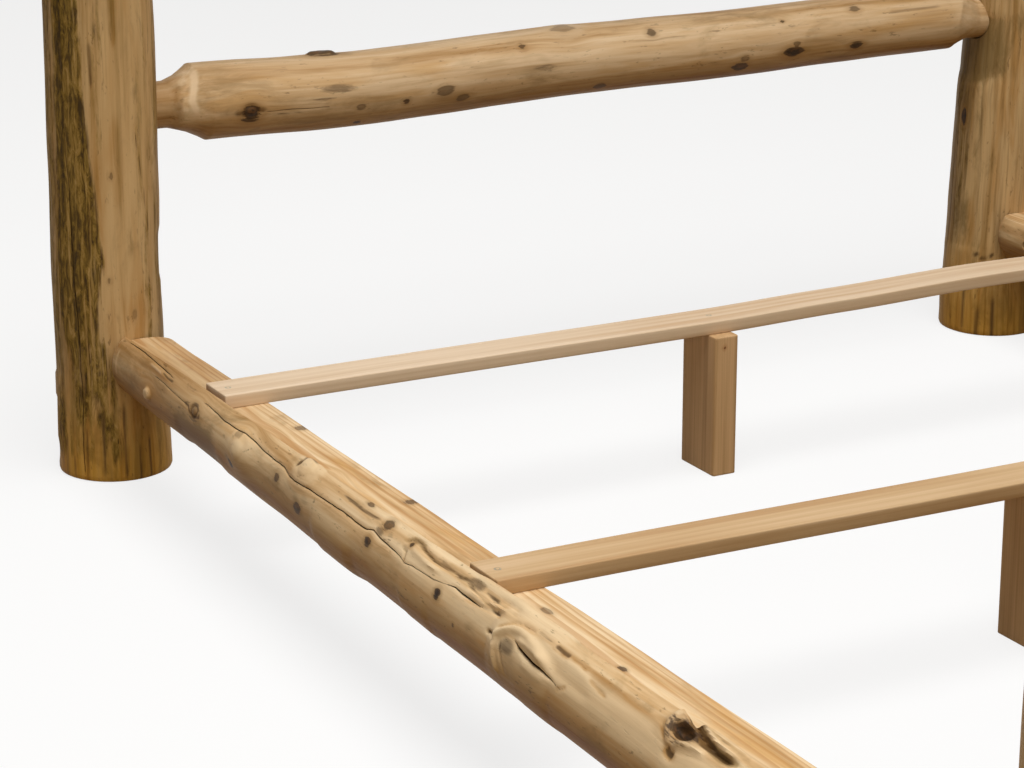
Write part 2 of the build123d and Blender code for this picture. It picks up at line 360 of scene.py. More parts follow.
def grown(along, profile, natural, angles, cracks, knots, seed, lines):
    """Distance along and radius of every point: the profile with its relief and its checks."""
    around = np.broadcast_to(along[:, None], angles.shape)
    base = np.broadcast_to(profile[:, None], angles.shape)
    radius = base + natural[:, None] * log_relief(around, angles, base, knots, seed, lines)
    for k, check in cracks:
        sink = check.depth * np.minimum(check_open(check, along), 1.3) * natural
        radius[:, k] -= sink
        for lip in (k - 1, k + 1):
            radius[:, lip] -= LIP_SINK * sink
    return around, radius


print("peeling waves in mm:", [tall for across, lengthwise, tall in WAVES])

# %% [markdown]
# Every log ends up as rows of points, one row round the log at each station.  Neighbouring rows
# are joined by quads, and each end is closed by a fan of triangles to its middle point, so the
# mesh is watertight and holes can be cut in it later.


# %% Skin rows of points
def skin(name, points, start_point, end_point):
    """A closed mesh from rows of points, joined by quads, with a fan to a middle point at each end."""
    rows, columns = points.shape[:2]
    index = np.arange(rows * columns).reshape(rows, columns)
    right = np.roll(index, -1, axis=1)
    quads = np.stack([index[:-1], right[:-1], right[1:], index[1:]], axis=-1).reshape(-1, 4)
    corners = points.reshape(-1, 3).tolist()
    faces = quads.tolist()
    for point, row, flip in ((start_point, 0, True), (end_point, rows - 1, False)):
        corners.append(list(point))
        hub = len(corners) - 1
        ring = range(row * columns, (row + 1) * columns)
        for j in range(columns):
            pair = (ring[j], ring[(j + 1) % columns])
            faces.append([hub, *(reversed(pair) if flip else pair)])
    mesh = bpy.data.meshes.new(name)
    mesh.from_pydata(corners, [], faces)
    mesh.validate()
    return mesh


# %% [markdown]
# Mortises, bolt holes and screw holes are bored in the real logs.  Here they are cut with
# Blender's Boolean modifier, all of one piece's cutters at once, and the side rails' stub tenons
# are added the same way.  The cutters are round bars and cones that are deleted afterwards.


# %% Cut holes
CONE_LIFT = 0.002  # a countersink's cutter starts this far outside the wood


def round_shape(start, direction, first_r, last_r, length, sides):
    """Points and faces of a round bar or cone that leaves start in the given direction."""
    direction = Vector(direction).normalized()
    turn = direction.to_track_quat("Z", "Y").to_matrix().to_4x4()
    middle = Vector(start) + direction * (length / 2)
    shape = bmesh.new()
    bmesh.ops.create_cone(
        shape, cap_ends=True, segments=sides, radius1=first_r, radius2=last_r, depth=length,
        matrix=Matrix.Translation(middle) @ turn,
    )
    return shape


def bar(start, direction, radius, length, sides=48):
    """A round bar, as a cutter or a tenon."""
    return round_shape(start, direction, radius, radius, length, sides)


def cone(place, direction, radius, depth, point_r, sides=24):
    """A countersink: radius at place, shrinking to point_r depth metres in."""
    start = Vector(place) - Vector(direction).normalized() * CONE_LIFT
    wide = radius + (radius - point_r) / depth * CONE_LIFT
    return round_shape(start, direction, wide, point_r, depth + CONE_LIFT, sides)


def joined(shapes, name):
    """Several bmesh shapes in one mesh object."""
    mesh = bpy.data.meshes.new(name)
    whole = bmesh.new()
    for shape in shapes:
        part = bpy.data.meshes.new("part")
        shape.to_mesh(part)
        shape.free()
        whole.from_mesh(part)
        bpy.data.meshes.remove(part)
    whole.to_mesh(mesh)
    whole.free()
    return bpy.data.objects.new(name, mesh)


def carve(mesh, steps):
    """The mesh after a list of steps: DIFFERENCE or UNION, each with its bars."""
    scene = bpy.context.scene.collection
    worked = bpy.data.objects.new("worked", mesh)
    scene.objects.link(worked)
    tools = []
    for operation, shapes in steps:
        tool = joined(shapes, "tool")
        scene.objects.link(tool)
        tools.append(tool)
        modifier = worked.modifiers.new(operation, "BOOLEAN")
        modifier.operation = operation
        modifier.solver = "MANIFOLD"
        modifier.object = tool
    bpy.context.view_layer.update()
    done = bpy.data.meshes.new_from_object(
        worked.evaluated_get(bpy.context.evaluated_depsgraph_get())
    )
    for tool in tools:
        bpy.data.meshes.remove(tool.data)
    bpy.data.objects.remove(worked)
    bpy.data.meshes.remove(mesh)
    return done


# %% [markdown]
# The finish needs to know where things are on the wood: where a knot is, where a check runs,
# where inner bark was left.  An image could hold that, but here it is painted on the finished mesh
# as attributes, one number or vector at each point, from the same lists that shaped it, so that
# colour and form always agree.  A patch is an oval place, and a band follows the log between two
# angles.

# %% Places on a log
Patch = namedtuple("Patch", "along angle length width strength")
Band = namedtuple("Band", "rows strength")  # rows of distance along, first and last angle


def band_cover(band, along, angle, radius):
    """How much of a band covers each point: 1 inside, fading to 0 over its edges and ends."""
    rows = np.array(band.rows)
    low = np.radians(np.interp(along, rows[:, 0], rows[:, 1]))
    high = np.radians(np.interp(along, rows[:, 0], rows[:, 2]))
    half = (high - low) / 2 * radius
    off = np.abs(wrapped(angle - (low + high) / 2)) * radius
    inside = ease(half - off, -0.01, 0.008)
    inside *= ease(along, rows[0, 0], rows[0, 0] + 0.05)
    return inside * (1 - ease(along, rows[-1, 0] - 0.05, rows[-1, 0]))


def patch_cover(patch, along, angle, radius):
    """The same for an oval patch."""
    down = (along - patch.along) / (patch.length / 2)
    across = wrapped(angle - math.radians(patch.angle)) * radius / (patch.width / 2)
    return 1 - ease(np.hypot(down, across), 0.3, 1.35)


def place_value(places, along, angle, radius):
    """The strongest of the patches and bands at each point."""
    value = np.zeros_like(along)
    for place in places:
        cover = band_cover if isinstance(place, Band) else patch_cover
        share = place.strength * cover(place, along, angle, radius)
        stronger = np.abs(share) > np.abs(value)
        value[stronger] = share[stronger]
    return value


demo = patch_cover(Patch(0.5, 0, 0.1, 0.1, 1.0), np.array((0.5, 0.53, 0.6)), 0, 1)
print("a patch in its middle, near its edge and outside it:", demo.round(2))

# %% [markdown]
# `grain` is each point's place in the log itself, so that growth rings and fibres run through the
# wood and not just over it.  Close to a knot the fibres bend round it.  The knots, the checks and
# the tints are reduced to one number each, the one that matters most at that point.

# %% What the finish needs to know
PUSH = 0.5  # how far a knot pushes the fibres aside, as a share of their distance
LEAST_RADIUS = 0.02  # where a log closes in, its radius counts as this at least


def bent_grain(knots, along, angle, radius):
    """Angles with the fibres pushed apart round each knot."""
    bent = angle.copy()
    for knot in knots:
        down, across = knot_offset(knot, along, angle, radius)
        push = PUSH * hill(down, 1.9 * knot.size * knot.stretch) * hill(across, 2.4 * knot.size)
        bent -= push * across / np.maximum(radius, LEAST_RADIUS)
    return bent


def nearest_knot(knots, along, angle, radius):
    """Distance to the nearest knot, in knot radii, and how dark that knot is."""
    nearest = np.full(len(along), FAR)
    tone = np.zeros(len(along))
    for knot in knots:
        d = knot_distance(knot, along, angle, radius)
        closer = d < nearest
        nearest[closer] = d[closer]
        tone[closer] = knot.tone
    return nearest, tone


def check_value(checks, along, angle, radius):
    """1 at the bottom of a check, 0 outside it."""
    value = np.zeros(len(along))
    for check in checks:
        off = np.abs(wrapped(angle - check_line(check, along))) * radius
        opening = check_open(check, along)
        inside = np.clip(1 - off / (np.maximum(opening, 0.5) * check.width), 0, 1)
        value = np.maximum(value, inside * ease(opening, 0, 0.35))
    return value


def tint_value(lines, places, along, angle, radius):
    """Dark marks less the pale ones; a dark mark stays whole on pale wood."""
    shares = [line.tint * line_amount(line, along, angle, radius) for line in lines]
    shares += [place_value([place], along, angle, radius) for place in places]
    dark, pale = np.zeros((2, len(along)))
    for share in shares:
        dark += np.maximum(share, 0)
        pale += np.minimum(share, 0)
    return np.clip(dark + pale * (1 - np.clip(1.5 * dark, 0, 1)), -1, 1)


# %% [markdown]
# One function then writes all of it on a log's mesh.  `Marks` holds one log's own lines, tints,
# strips of inner bark and flats that weathered grey.  Each of them may be left out.

# %% Paint a log's attributes
Marks = namedtuple("Marks", "lines tints bark grey", defaults=((), (), (), ()))


def mesh_points(mesh):
    """Places of all of a mesh's points, one row each."""
    points = np.empty(len(mesh.vertices) * 3)
    mesh.vertices.foreach_get("co", points)
    return points.reshape(-1, 3)


def paint(mesh, name, kind, values):
    """Stores one number or one vector at each point of a mesh."""
    layer = mesh.attributes.new(name, kind, "POINT")
    field = "vector" if kind == "FLOAT_VECTOR" else "value"
    layer.data.foreach_set(field, np.ascontiguousarray(values, np.float32).ravel())


def paint_log(mesh, log, knots, checks, seed, cut, shade, marks):
    """cut and shade are functions of along, angle and radius that give 0 to 1."""
    place = along, angle, radius = log.read(mesh_points(mesh))
    bent = bent_grain(knots, *place)
    grain = np.stack([radius * np.cos(bent), radius * np.sin(bent), along], axis=-1)
    paint(mesh, "grain", "FLOAT_VECTOR", grain)
    nearest, tone = nearest_knot(knots, *place)
    values = {
        "knot": nearest,
        "knot_tone": tone,
        "check": check_value(checks, *place),
        "height": log_relief(*place, knots, seed, marks.lines) / MM,
        "tint": tint_value(marks.lines, marks.tints, *place),
        "bark": place_value(marks.bark, *place),
        "grey": place_value(marks.grey, *place),
        "cut": cut(*place),
        "shade": shade(*place),
    }
    for name, value in values.items():
        paint(mesh, name, "FLOAT", value)


print("kinds of marks on a log:", ", ".join(Marks._fields))

# %% [markdown]
# Materials are built from nodes.  A few small functions keep that readable: `node` adds a node and
# wires or sets its inputs, `times` and `plus` do sums, `mixed` blends two colours, and `steps` is
# a colour ramp.


# %% Helpers for node materials
def linear(red, green, blue):
    """A colour as one reads it off a screen, 0 to 255, in the linear values that nodes use."""
    parts = [c / 255 for c in (red, green, blue)]
    return [c / 12.92 if c <= 0.04045 else ((c + 0.055) / 1.055) ** 2.4 for c in parts] + [1.0]


class Nodes:
    """Adds nodes to one material and links them."""

    def __init__(self, name):
        self.material = bpy.data.materials.new(name)
        self.material.use_nodes = True
        self.tree = self.material.node_tree
        self.tree.nodes.clear()

    @classmethod
    def on(cls, world):
        """The same helper for the nodes of a world."""
        made = cls.__new__(cls)
        made.tree = world.node_tree
        return made

    def node(self, kind, out=0, inputs=(), **settings):
        made = self.tree.nodes.new("ShaderNode" + kind)
        for key, value in settings.items():
            setattr(made, key, value)
        for key, value in dict(inputs).items():
            if isinstance(value, bpy.types.NodeSocket):
                self.tree.links.new(value, made.inputs[key])
            else:
                made.inputs[key].default_value = value
        return made.outputs[out]

    def read(self, name, part="Fac"):
        return self.node("Attribute", out=part, attribute_name=name)

    def math(self, operation, *values):
        return self.node("Math", inputs=enumerate(values), operation=operation)

    def times(self, *values):
        product = values[0]
        for value in values[1:]:
            product = self.math("MULTIPLY", product, value)
        return product

    def plus(self, *values):
        total = values[0]
        for value in values[1:]:
            total = self.math("ADD", total, value)
        return total

    def hypot(self, first, second):
        """The distance that two sides at a right angle span."""
        squares = [self.math("POWER", side, 2.0) for side in (first, second)]
        return self.math("SQRT", self.plus(*squares))

    def centred(self, value, scale):
        """A noise value spread round 0, scale wide."""
        return self.times(self.math("SUBTRACT", value, 0.5), scale)

    def noise(self, vector, scale, detail=3.0, roughness=0.55, distortion=0.0):
        """Noise drawn out by three scales, one for each axis of the vector."""
        stretched = self.node("Mapping", inputs={"Vector": vector, "Scale": scale})
        inputs = {"Vector": stretched, "Scale": 1.0, "Detail": detail, "Roughness": roughness}
        return self.node("TexNoise", inputs={**inputs, "Distortion": distortion})

    def step(self, value, low, high):
        """A soft step from 0 at low to 1 at high; falling if low is the larger."""
        settings = {"Value": value, "From Min": low, "From Max": high}
        return self.node("MapRange", inputs=settings, interpolation_type="SMOOTHSTEP")

    def steps(self, value, *stops):
        ramp = self.tree.nodes.new("ShaderNodeValToRGB")
        colours = ramp.color_ramp.elements
        for i, (place, colour) in enumerate(stops):
            stop = colours[i] if i < 2 else colours.new(place)
            stop.position, stop.color = place, colour
        self.tree.links.new(value, ramp.inputs["Fac"])
        return ramp.outputs["Color"]

    def mixed(self, share, first, second, blend="MIX"):
        settings = {"data_type": "RGBA", "blend_type": blend}
        return self.node("Mix", out=2, inputs={0: share, 6: first, 7: second}, **settings)

    def output(self, kind, surface):
        made = self.tree.nodes.new("ShaderNodeOutput" + kind)
        self.tree.links.new(surface, made.inputs["Surface"])

    def finish(self, colour, roughness, bump, strength, distance, **fixed):
        """The Principled shader; fixed are numbers set on its own sockets."""
        relief = {"Height": bump, "Strength": strength, "Distance": distance}
        inputs = {key.replace("_", " "): value for key, value in fixed.items()}
        inputs.update({"Base Color": colour, "Roughness": roughness})
        inputs["Normal"] = self.node("Bump", inputs=relief)
        self.output("Material", self.node("BsdfPrincipled", inputs=inputs))
        return self.material


print("mid grey on the screen is this much light:", round(linear(128, 128, 128)[0], 3))

# %% [markdown]
# ## The finish of a peeled log
# Softwood that was peeled by hand and lacquered clear.  A flat picture of wood, wrapped round a
# log, would show its seam and no rings on the sawn faces.  So the finish is grown from noises
# instead, all drawn out along the grain: long streaks, fine fibres and threads between them, warm
# and dull blotches, smudges and specks.  The same noises also fray the edges of knots and bark.


# %% The noises in peeled wood
LogNoises = namedtuple("LogNoises", "grain streak fibre thread warm blotch smudge speck mottle")


def log_noises(n):
    """Each scale is larger across the log than along it, which draws the noise out."""
    grain = n.read("grain", "Vector")
    return LogNoises(
        grain=grain,
        streak=n.noise(grain, (34, 34, 1.8), 4.0, 0.6, 0.3),
        fibre=n.noise(grain, (300, 300, 8), 3.0, 0.65),
        thread=n.noise(grain, (120, 120, 3.4), 4.0, 0.62, 0.4),
        warm=n.noise(grain, (27, 27, 3.6), 3.0, 0.6, 0.4),
        blotch=n.noise(grain, (21, 21, 8), 4.0, 0.62, 0.5),
        smudge=n.noise(grain, (46, 46, 12), 5.0, 0.68, 0.5),
        speck=n.noise(grain, (210, 210, 60), 3.0, 0.6, 0.3),
        mottle=n.noise(grain, (110, 110, 26), 5.0, 0.75, 0.8),
    )


print("noises:", ", ".join(LogNoises._fields[1:]))

# %% [markdown]
# The broad tone drifts between cream, honey and brown in long streaks, with ochre and greyer
# places.  Growth rings show faintly where the drawknife cut across them and strongly on the sawn
# faces.  A ring is a whole number of steps away from the pith, so it needs only a distance.


# %% Bare wood and its rings
WoodLook = namedtuple("WoodLook", "pale honey brown stain ochre under dirt")
RINGS_PER_METRE = 190.0


def bare_wood(n, noises, look):
    """Cream and honey with browner streaks, then ochre and greyer places."""
    stops = ((0.34, look.brown), (0.45, look.honey), (0.56, look.pale), (0.7, look.honey))
    wood = n.steps(noises.streak, *stops)
    wood = n.mixed(n.times(n.step(noises.warm, 0.52, 0.68), 0.55), wood, look.ochre)
    wood = n.mixed(n.times(n.step(noises.blotch, 0.53, 0.7), 0.45 * look.dirt), wood, look.stain)
    wood = n.mixed(n.times(n.step(noises.thread, 0.5, 0.7), 0.35), wood, look.brown)
    return n.mixed(n.times(n.step(noises.fibre, 0.52, 0.74), 0.18), wood, look.brown)


def ringed(n, noises, wood):
    """Growth rings, each a soft rise to the dark late wood and a sharp end."""
    across = n.node("SeparateXYZ", inputs={0: noises.grain})
    warp = n.times(n.noise(noises.grain, (16, 16, 1.4), 2.0), 0.016)
    from_pith = n.plus(n.hypot(across, across.node.outputs[1]), warp)
    ring = n.math("FRACT", n.times(from_pith, RINGS_PER_METRE))
    late = n.times(n.step(ring, 0.4, 0.92), n.step(ring, 1.0, 0.94))
    share = n.plus(n.times(n.read("cut"), 0.42), 0.06)
    return n.mixed(n.times(late, share), wood, linear(176, 120, 56))


print("a year's growth in mm:", round(1000 / RINGS_PER_METRE, 1))

# %% [markdown]
# A drawknife takes the high places down to clean wood and leaves thin inner bark in the hollows.
# The painted height tells the two apart, and the paler tops and darker hollows are partly painted
# highlight and shade too.  Whole strips of inner bark stay where the knife never went, mottled and
# frayed by the threads.  The posts' butts are darker, and the rails' undersides get painted shade.


# %% Inner bark, flecks and painted shade
def peeled(n, noises, wood, look):
    """Paler high places and darker hollows, clean wood and inner bark with painted highlight and
    shade, with flecks; also returns the flecks.
    """
    natural = n.math("SUBTRACT", 1.0, n.read("cut"))
    uneven = n.plus(n.read("height"), n.centred(noises.smudge, 7.0))
    # painted highlight with clean wood: the high places are paler
    wood = n.mixed(n.times(n.step(uneven, 0.6, 2.6), natural, 0.4), wood, look.pale)
    # painted shade with inner bark: the hollows are darker
    hollow = n.times(n.step(uneven, -0.3, -2.6), natural)
    wood = n.mixed(n.times(hollow, 0.7 * look.dirt), wood, look.stain)
    flecks = n.times(n.step(noises.speck, 0.6, 0.7), n.step(noises.smudge, 0.42, 0.58), natural)
    return n.mixed(n.times(flecks, 0.55 * look.dirt), wood, linear(92, 68, 36)), flecks


def tone_and_painted_shade(n, noises, wood, look):
    """Multiplies in the painted shade on the rails' undersides and the darker tone of other places, a
    little unevenly.
    """
    shaded = n.times(n.read("shade"), n.plus(n.times(noises.thread, 0.7), 0.6))
    return n.mixed(n.math("MINIMUM", shaded, 1.0), wood, look.under, "MULTIPLY")


def barked(n, noises, wood):
    """Strips of inner bark that were left whole; also returns where they are."""
    bark = n.read("bark")
    edge = n.plus(bark, n.centred(noises.smudge, 1.3), n.centred(noises.thread, 1.5))
    worn_through = n.step(noises.thread, 0.72, 0.56)
    covered = n.times(n.step(edge, 0.28, 0.72), n.step(bark, 0.0, 0.15), worn_through)
    inner = n.steps(
        n.plus(n.times(noises.mottle, 0.62), n.times(noises.thread, 0.38)),
        (0.41, linear(46, 33, 10)),
        (0.46, linear(78, 58, 18)),
        (0.51, linear(118, 94, 36)),
        (0.56, linear(150, 120, 60)),
        (0.62, linear(178, 146, 92)),
    )
    return n.mixed(n.times(covered, 0.94), wood, inner), covered


# %% [markdown]
# Streaks, lips and weathered flats follow the painted tint and grey; the tint also holds painted
# light, paler on the lit flank and the knobs and darker in the crevices.  A knot has a dull halo, a
# heart of dark brown with redder lumps, and a darker rim, and its distance is frayed by the
# threads so that no edge is a clean circle.  The checks come last, nearly black, partly painted
# shade in the narrow cracks.


# %% Streaks, knots and checks
def streaked(n, noises, wood, look):
    """Marked streaks and lips, dark or pale, with the painted light that the tint holds, and flats
    that weathered grey.
    """
    tint = n.read("tint")
    darker = n.step(n.plus(tint, n.centred(noises.thread, 0.8)), 0.15, 0.9)
    wood = n.mixed(n.times(darker, n.step(tint, 0.0, 0.1), 0.85), wood, linear(70, 48, 24))
    wood = n.mixed(n.times(n.step(tint, -0.1, -0.9), 0.75), wood, look.pale)
    grey = n.read("grey")
    edge = n.plus(grey, n.centred(noises.mottle, 1.5), n.centred(noises.thread, 1.2))
    greyed = n.times(n.step(edge, 0.35, 0.95), n.step(grey, 0.0, 0.2))
    return n.mixed(n.times(greyed, 0.75), wood, linear(112, 92, 68))


def knotted(n, noises, wood):
    """A dull halo, then dark brown with redder lumps and a darker, ragged edge."""
    ragged = n.plus(n.centred(noises.thread, 2.4), n.centred(noises.fibre, 1.2))
    d = n.plus(n.read("knot"), n.centred(noises.smudge, 1.2), ragged)
    tone = n.read("knot_tone")
    wood = n.mixed(n.times(n.step(d, 2.6, 0.9), tone, 0.55), wood, linear(142, 104, 56))
    heart = n.mixed(n.step(noises.speck, 0.46, 0.64), linear(40, 25, 9), linear(84, 54, 26))
    wood = n.mixed(n.times(n.step(d, 1.3, 0.6), tone, 0.97), wood, heart)
    rim = n.times(n.step(d, 0.6, 0.95), n.step(d, 1.35, 1.0), tone)
    return n.mixed(n.times(rim, 0.75), wood, linear(50, 32, 16))


def cracked(n, wood):
    # painted shade: the checks are painted nearly black, partly the darker wood inside them
    return n.mixed(n.step(n.read("check"), 0.3, 0.85), wood, linear(62, 40, 18))


# %% [markdown]
# The layers are laid one over the other, as on the real log, and three woods come out of one
# recipe: fresh side rails, duller cross rails and brown posts.  The bump is kept small, because
# the form is in the mesh already.


# %% Peeled-log material
BUMP_DEPTH = 0.0008
LACQUER = 0.14  # how much the thin lacquer shines


def log_material(name, dirt, **colours):
    """stain is the colour of the thin inner bark that the drawknife left in the hollows,
    which there also stands in for shade; under multiplies in the painted shade on the rails'
    undersides and the darker tone of the posts' butts and the rails' ends."""
    look = WoodLook(dirt=dirt, **{key: linear(*colour) for key, colour in colours.items()})
    n = Nodes(name)
    noises = log_noises(n)
    wood = bare_wood(n, noises, look)
    wood = ringed(n, noises, wood)
    wood, flecks = peeled(n, noises, wood, look)
    wood = tone_and_painted_shade(n, noises, wood, look)
    wood, covered = barked(n, noises, wood)
    wood = streaked(n, noises, wood, look)
    wood = knotted(n, noises, wood)
    wood = cracked(n, wood)
    bump = n.plus(n.times(noises.fibre, 0.5), n.times(noises.thread, 0.45))
    bump = n.plus(bump, n.times(covered, noises.mottle, 0.8))
    bump = n.math("SUBTRACT", bump, n.times(flecks, 0.3))
    roughness = n.plus(n.times(noises.fibre, 0.2), 0.45, n.times(covered, 0.2))
    return n.finish(wood, roughness, bump, 0.5, BUMP_DEPTH, Specular_IOR_Level=LACQUER)


SIDE_RAIL_WOOD = log_material(
    "side_rail_wood", dirt=1.0,
    pale=(234, 208, 168), honey=(218, 184, 138), brown=(178, 138, 88),
    stain=(140, 112, 68), ochre=(210, 162, 96), under=(166, 132, 44),
)
CROSS_RAIL_WOOD = log_material(
    "cross_rail_wood", dirt=0.8,
    pale=(222, 196, 160), honey=(208, 176, 134), brown=(172, 134, 86),
    stain=(142, 116, 76), ochre=(196, 154, 96), under=(166, 134, 54),
)
POST_WOOD = log_material(
    "post_wood", dirt=1.0,
    pale=(204, 172, 124), honey=(188, 152, 102), brown=(140, 108, 56),
    stain=(104, 84, 42), ochre=(172, 124, 60), under=(255, 230, 130),
)
print("log materials:", [m.name for m in (SIDE_RAIL_WOOD, CROSS_RAIL_WOOD, POST_WOOD)])

# %% [markdown]
# Each finished mesh goes into the scene in the same way. It is shaded smooth, but kept sharp
# where two faces meet at more than 38 degrees, as at the ledge, the mouths of the holes and the
# checks.


# %% Put a piece into the scene
SHARP_ANGLE = 38


def show(mesh, name, material, node):
    mesh.materials.clear()
    mesh.materials.append(material)
    mesh.shade_smooth()
    mesh.set_sharp_from_angle(angle=math.radians(SHARP_ANGLE))
    piece = bpy.data.objects.new(name, mesh)
    bpy.context.scene.collection.objects.link(piece)
    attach(piece, "root")
    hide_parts(node)
    print(name, len(mesh.polygons), "faces")


# %% [markdown]
# ## The side rails
# Each side rail is a log with a ledge sawn out of its inner top side.  Its cross-section is an arc
# that starts at the top of the sawn wall, runs over the outside and the bottom to the ledge's
# inner edge, and is closed by the ledge and the wall.  The arc's two ends move with the log's
# radius, so that the ledge keeps one height and the wall one plane.

# %% Side rail sizes
LEDGE_REACH = 0.053
WALL_INSET = 0.014
RISE_HEAD, RISE_FOOT = 0.0296, 0.0418
INSET_HEAD, INSET_FOOT = 0.0128, 0.0024
HEAD_R = math.hypot(LEDGE_REACH - INSET_HEAD, RISE_HEAD)
FOOT_END_R = math.hypot(LEDGE_REACH - INSET_FOOT, RISE_FOOT)
DOME_LENGTH, DOME_DROP = 0.028, 0.022
SLAT_YS = [sum(corner[1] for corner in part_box("slat_" + place)) / 2 for place in SLAT_NAMES]
SLAT_SCREW_X = SLAT_HALF_LENGTH - 0.018
RAIL_MIDDLE = {  # distance from the bed's middle and height, at the head and at the foot
    1: (POST_X - INSET_HEAD, LEDGE_Z - RISE_HEAD),
    -1: (POST_X - INSET_FOOT, LEDGE_Z - RISE_FOOT),
}
print("slats at", [round(y, 3) for y in SLAT_YS])

# %% [markdown]
# Every joint is cut into two pieces, so its sizes are named once and both pieces use them.  The
# side rails have stub tenons, bed bolts and barrel nuts; the cross rails have round tenons that a
# screw holds.  Every cutter runs past the face that it opens, so that no thin skin is left.

# %% Joint sizes
STUB_R, STUB_LENGTH, STUB_ROOT = 0.025, 0.034, 0.02  # the root is the part inside the rail
SOCKET_R, SOCKET_GAP = 0.0252, 0.0004
BOLT_HOLE_R, BOLT_HOLE_LENGTH = 0.0052, 0.165
COUNTERBORE_R, COUNTERBORE_DEPTH = 0.016, 0.018
NUT_HOLE_R, NUT_REACH = 0.0082, 0.017  # how far the nut's hole runs past the bolt
NUT_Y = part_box("barrel_nuts")[1][1] - 0.008
MORTISE_R, MORTISE_FLOOR = 0.0337, 0.018  # the floor lies this far past the post's axis
TENON_TIP = 0.0184
PILOT_R = 0.00235
HEAD_HOLE_R, SCREW_SEAT = 0.00455, 0.014  # a tenon screw's head lies this deep in the post
SCREW_X = POST_X - 0.04
CUTTER = 0.12
CLEAR = 0.01
print("barrel nuts at", round(NUT_Y, 4), "tenon screws at", round(SCREW_X, 4))

# %% [markdown]
# A rail's stations lie close together over its rounded ends, where the form changes fast, and
# between them as close as the marks on that log need.  Equal steps would waste points.


# %% Side rail stations and section
def side_rail_stations(length, spacing):
    """Distances along the rail: close over the two domed ends, then by rows of (up to, gap)."""
    turn = np.linspace(0, math.pi / 2, 14)
    dome = DOME_LENGTH * (1 - np.cos(turn))
    parts, place = [dome[:-1]], DOME_LENGTH
    for up_to, gap in [*spacing, (length - DOME_LENGTH, spacing[-1][1])]:
        parts.append(np.linspace(place, up_to, max(int((up_to - place) / gap), 2))[:-1])
        place = up_to
    return np.concatenate([*parts, length - dome[::-1]])


def side_rail_limits(rise, inset, radius_top, radius_in):
    """Angles of the arc's ends, on the wall's plane and on the ledge's plane."""
    top = np.arcsin(np.clip((WALL_INSET + inset) / radius_top, 0, 1))
    inner = 2 * math.pi - np.arccos(np.clip(rise / radius_in, 0, 1))
    return top, inner


def close_section(arc, side):
    """Adds the ledge and the wall to rows of points along the arc."""
    foot = arc[:, -1].copy()
    foot[:, 0] = side * (POST_X + WALL_INSET)
    foot[:, 2] = LEDGE_Z
    ledge = [arc[:, -1] + (foot - arc[:, -1]) * t for t in np.linspace(0, 1, 16)[1:]]
    wall = [foot + (arc[:, 0] - foot) * t for t in np.linspace(0, 1, 9)[1:-1]]
    points = np.concatenate([arc, np.stack(ledge + wall, axis=1)], axis=1)
    return points[:, ::-1] if side > 0 else points


print("stations 10 mm apart on a rail:", len(side_rail_stations(2 * RAIL_END, [(1.0, 0.01)])))

# %% [markdown]
# The stub tenons are turned on the rail's ends, and each bed bolt runs through its stub into a
# barrel nut that is let in from the outside.  Pilot holes for the slats' screws go down from the
# ledge.


# %% Joints of a side rail
def side_rail_joints(side):
    """The stub tenons to add, and the holes to cut."""
    stubs, holes = [], []
    for end, (x, z) in RAIL_MIDDLE.items():
        x *= side
        root = (x, end * (RAIL_END - STUB_ROOT), z)
        stubs.append(bar(root, (0, end, 0), STUB_R, STUB_ROOT + STUB_LENGTH))
        bolt = (x, end * (RAIL_END + STUB_LENGTH + CLEAR), z)
        holes.append(bar(bolt, (0, -end, 0), BOLT_HOLE_R, BOLT_HOLE_LENGTH))
        nut = (x + side * NUT_REACH, end * NUT_Y, z)
        holes.append(bar(nut, (-side, 0, 0), NUT_HOLE_R, CUTTER))
    for y in SLAT_YS:
        pilot = (side * SLAT_SCREW_X, y, LEDGE_Z + CLEAR)
        holes.append(bar(pilot, (0, 0, -1), PILOT_R, 0.049, 16))
    return [("UNION", stubs), ("DIFFERENCE", holes)]


# %% [markdown]
# Now the rail itself: its arc from the profile and the relief, then the ledge and the wall, then
# the joints.  Its underside is darkened with painted shade, and the end at the head is darker too.


# %% Build a side rail
SKIN_DEPTH = 0.0006  # how near to a sawn plane a point counts as sawn


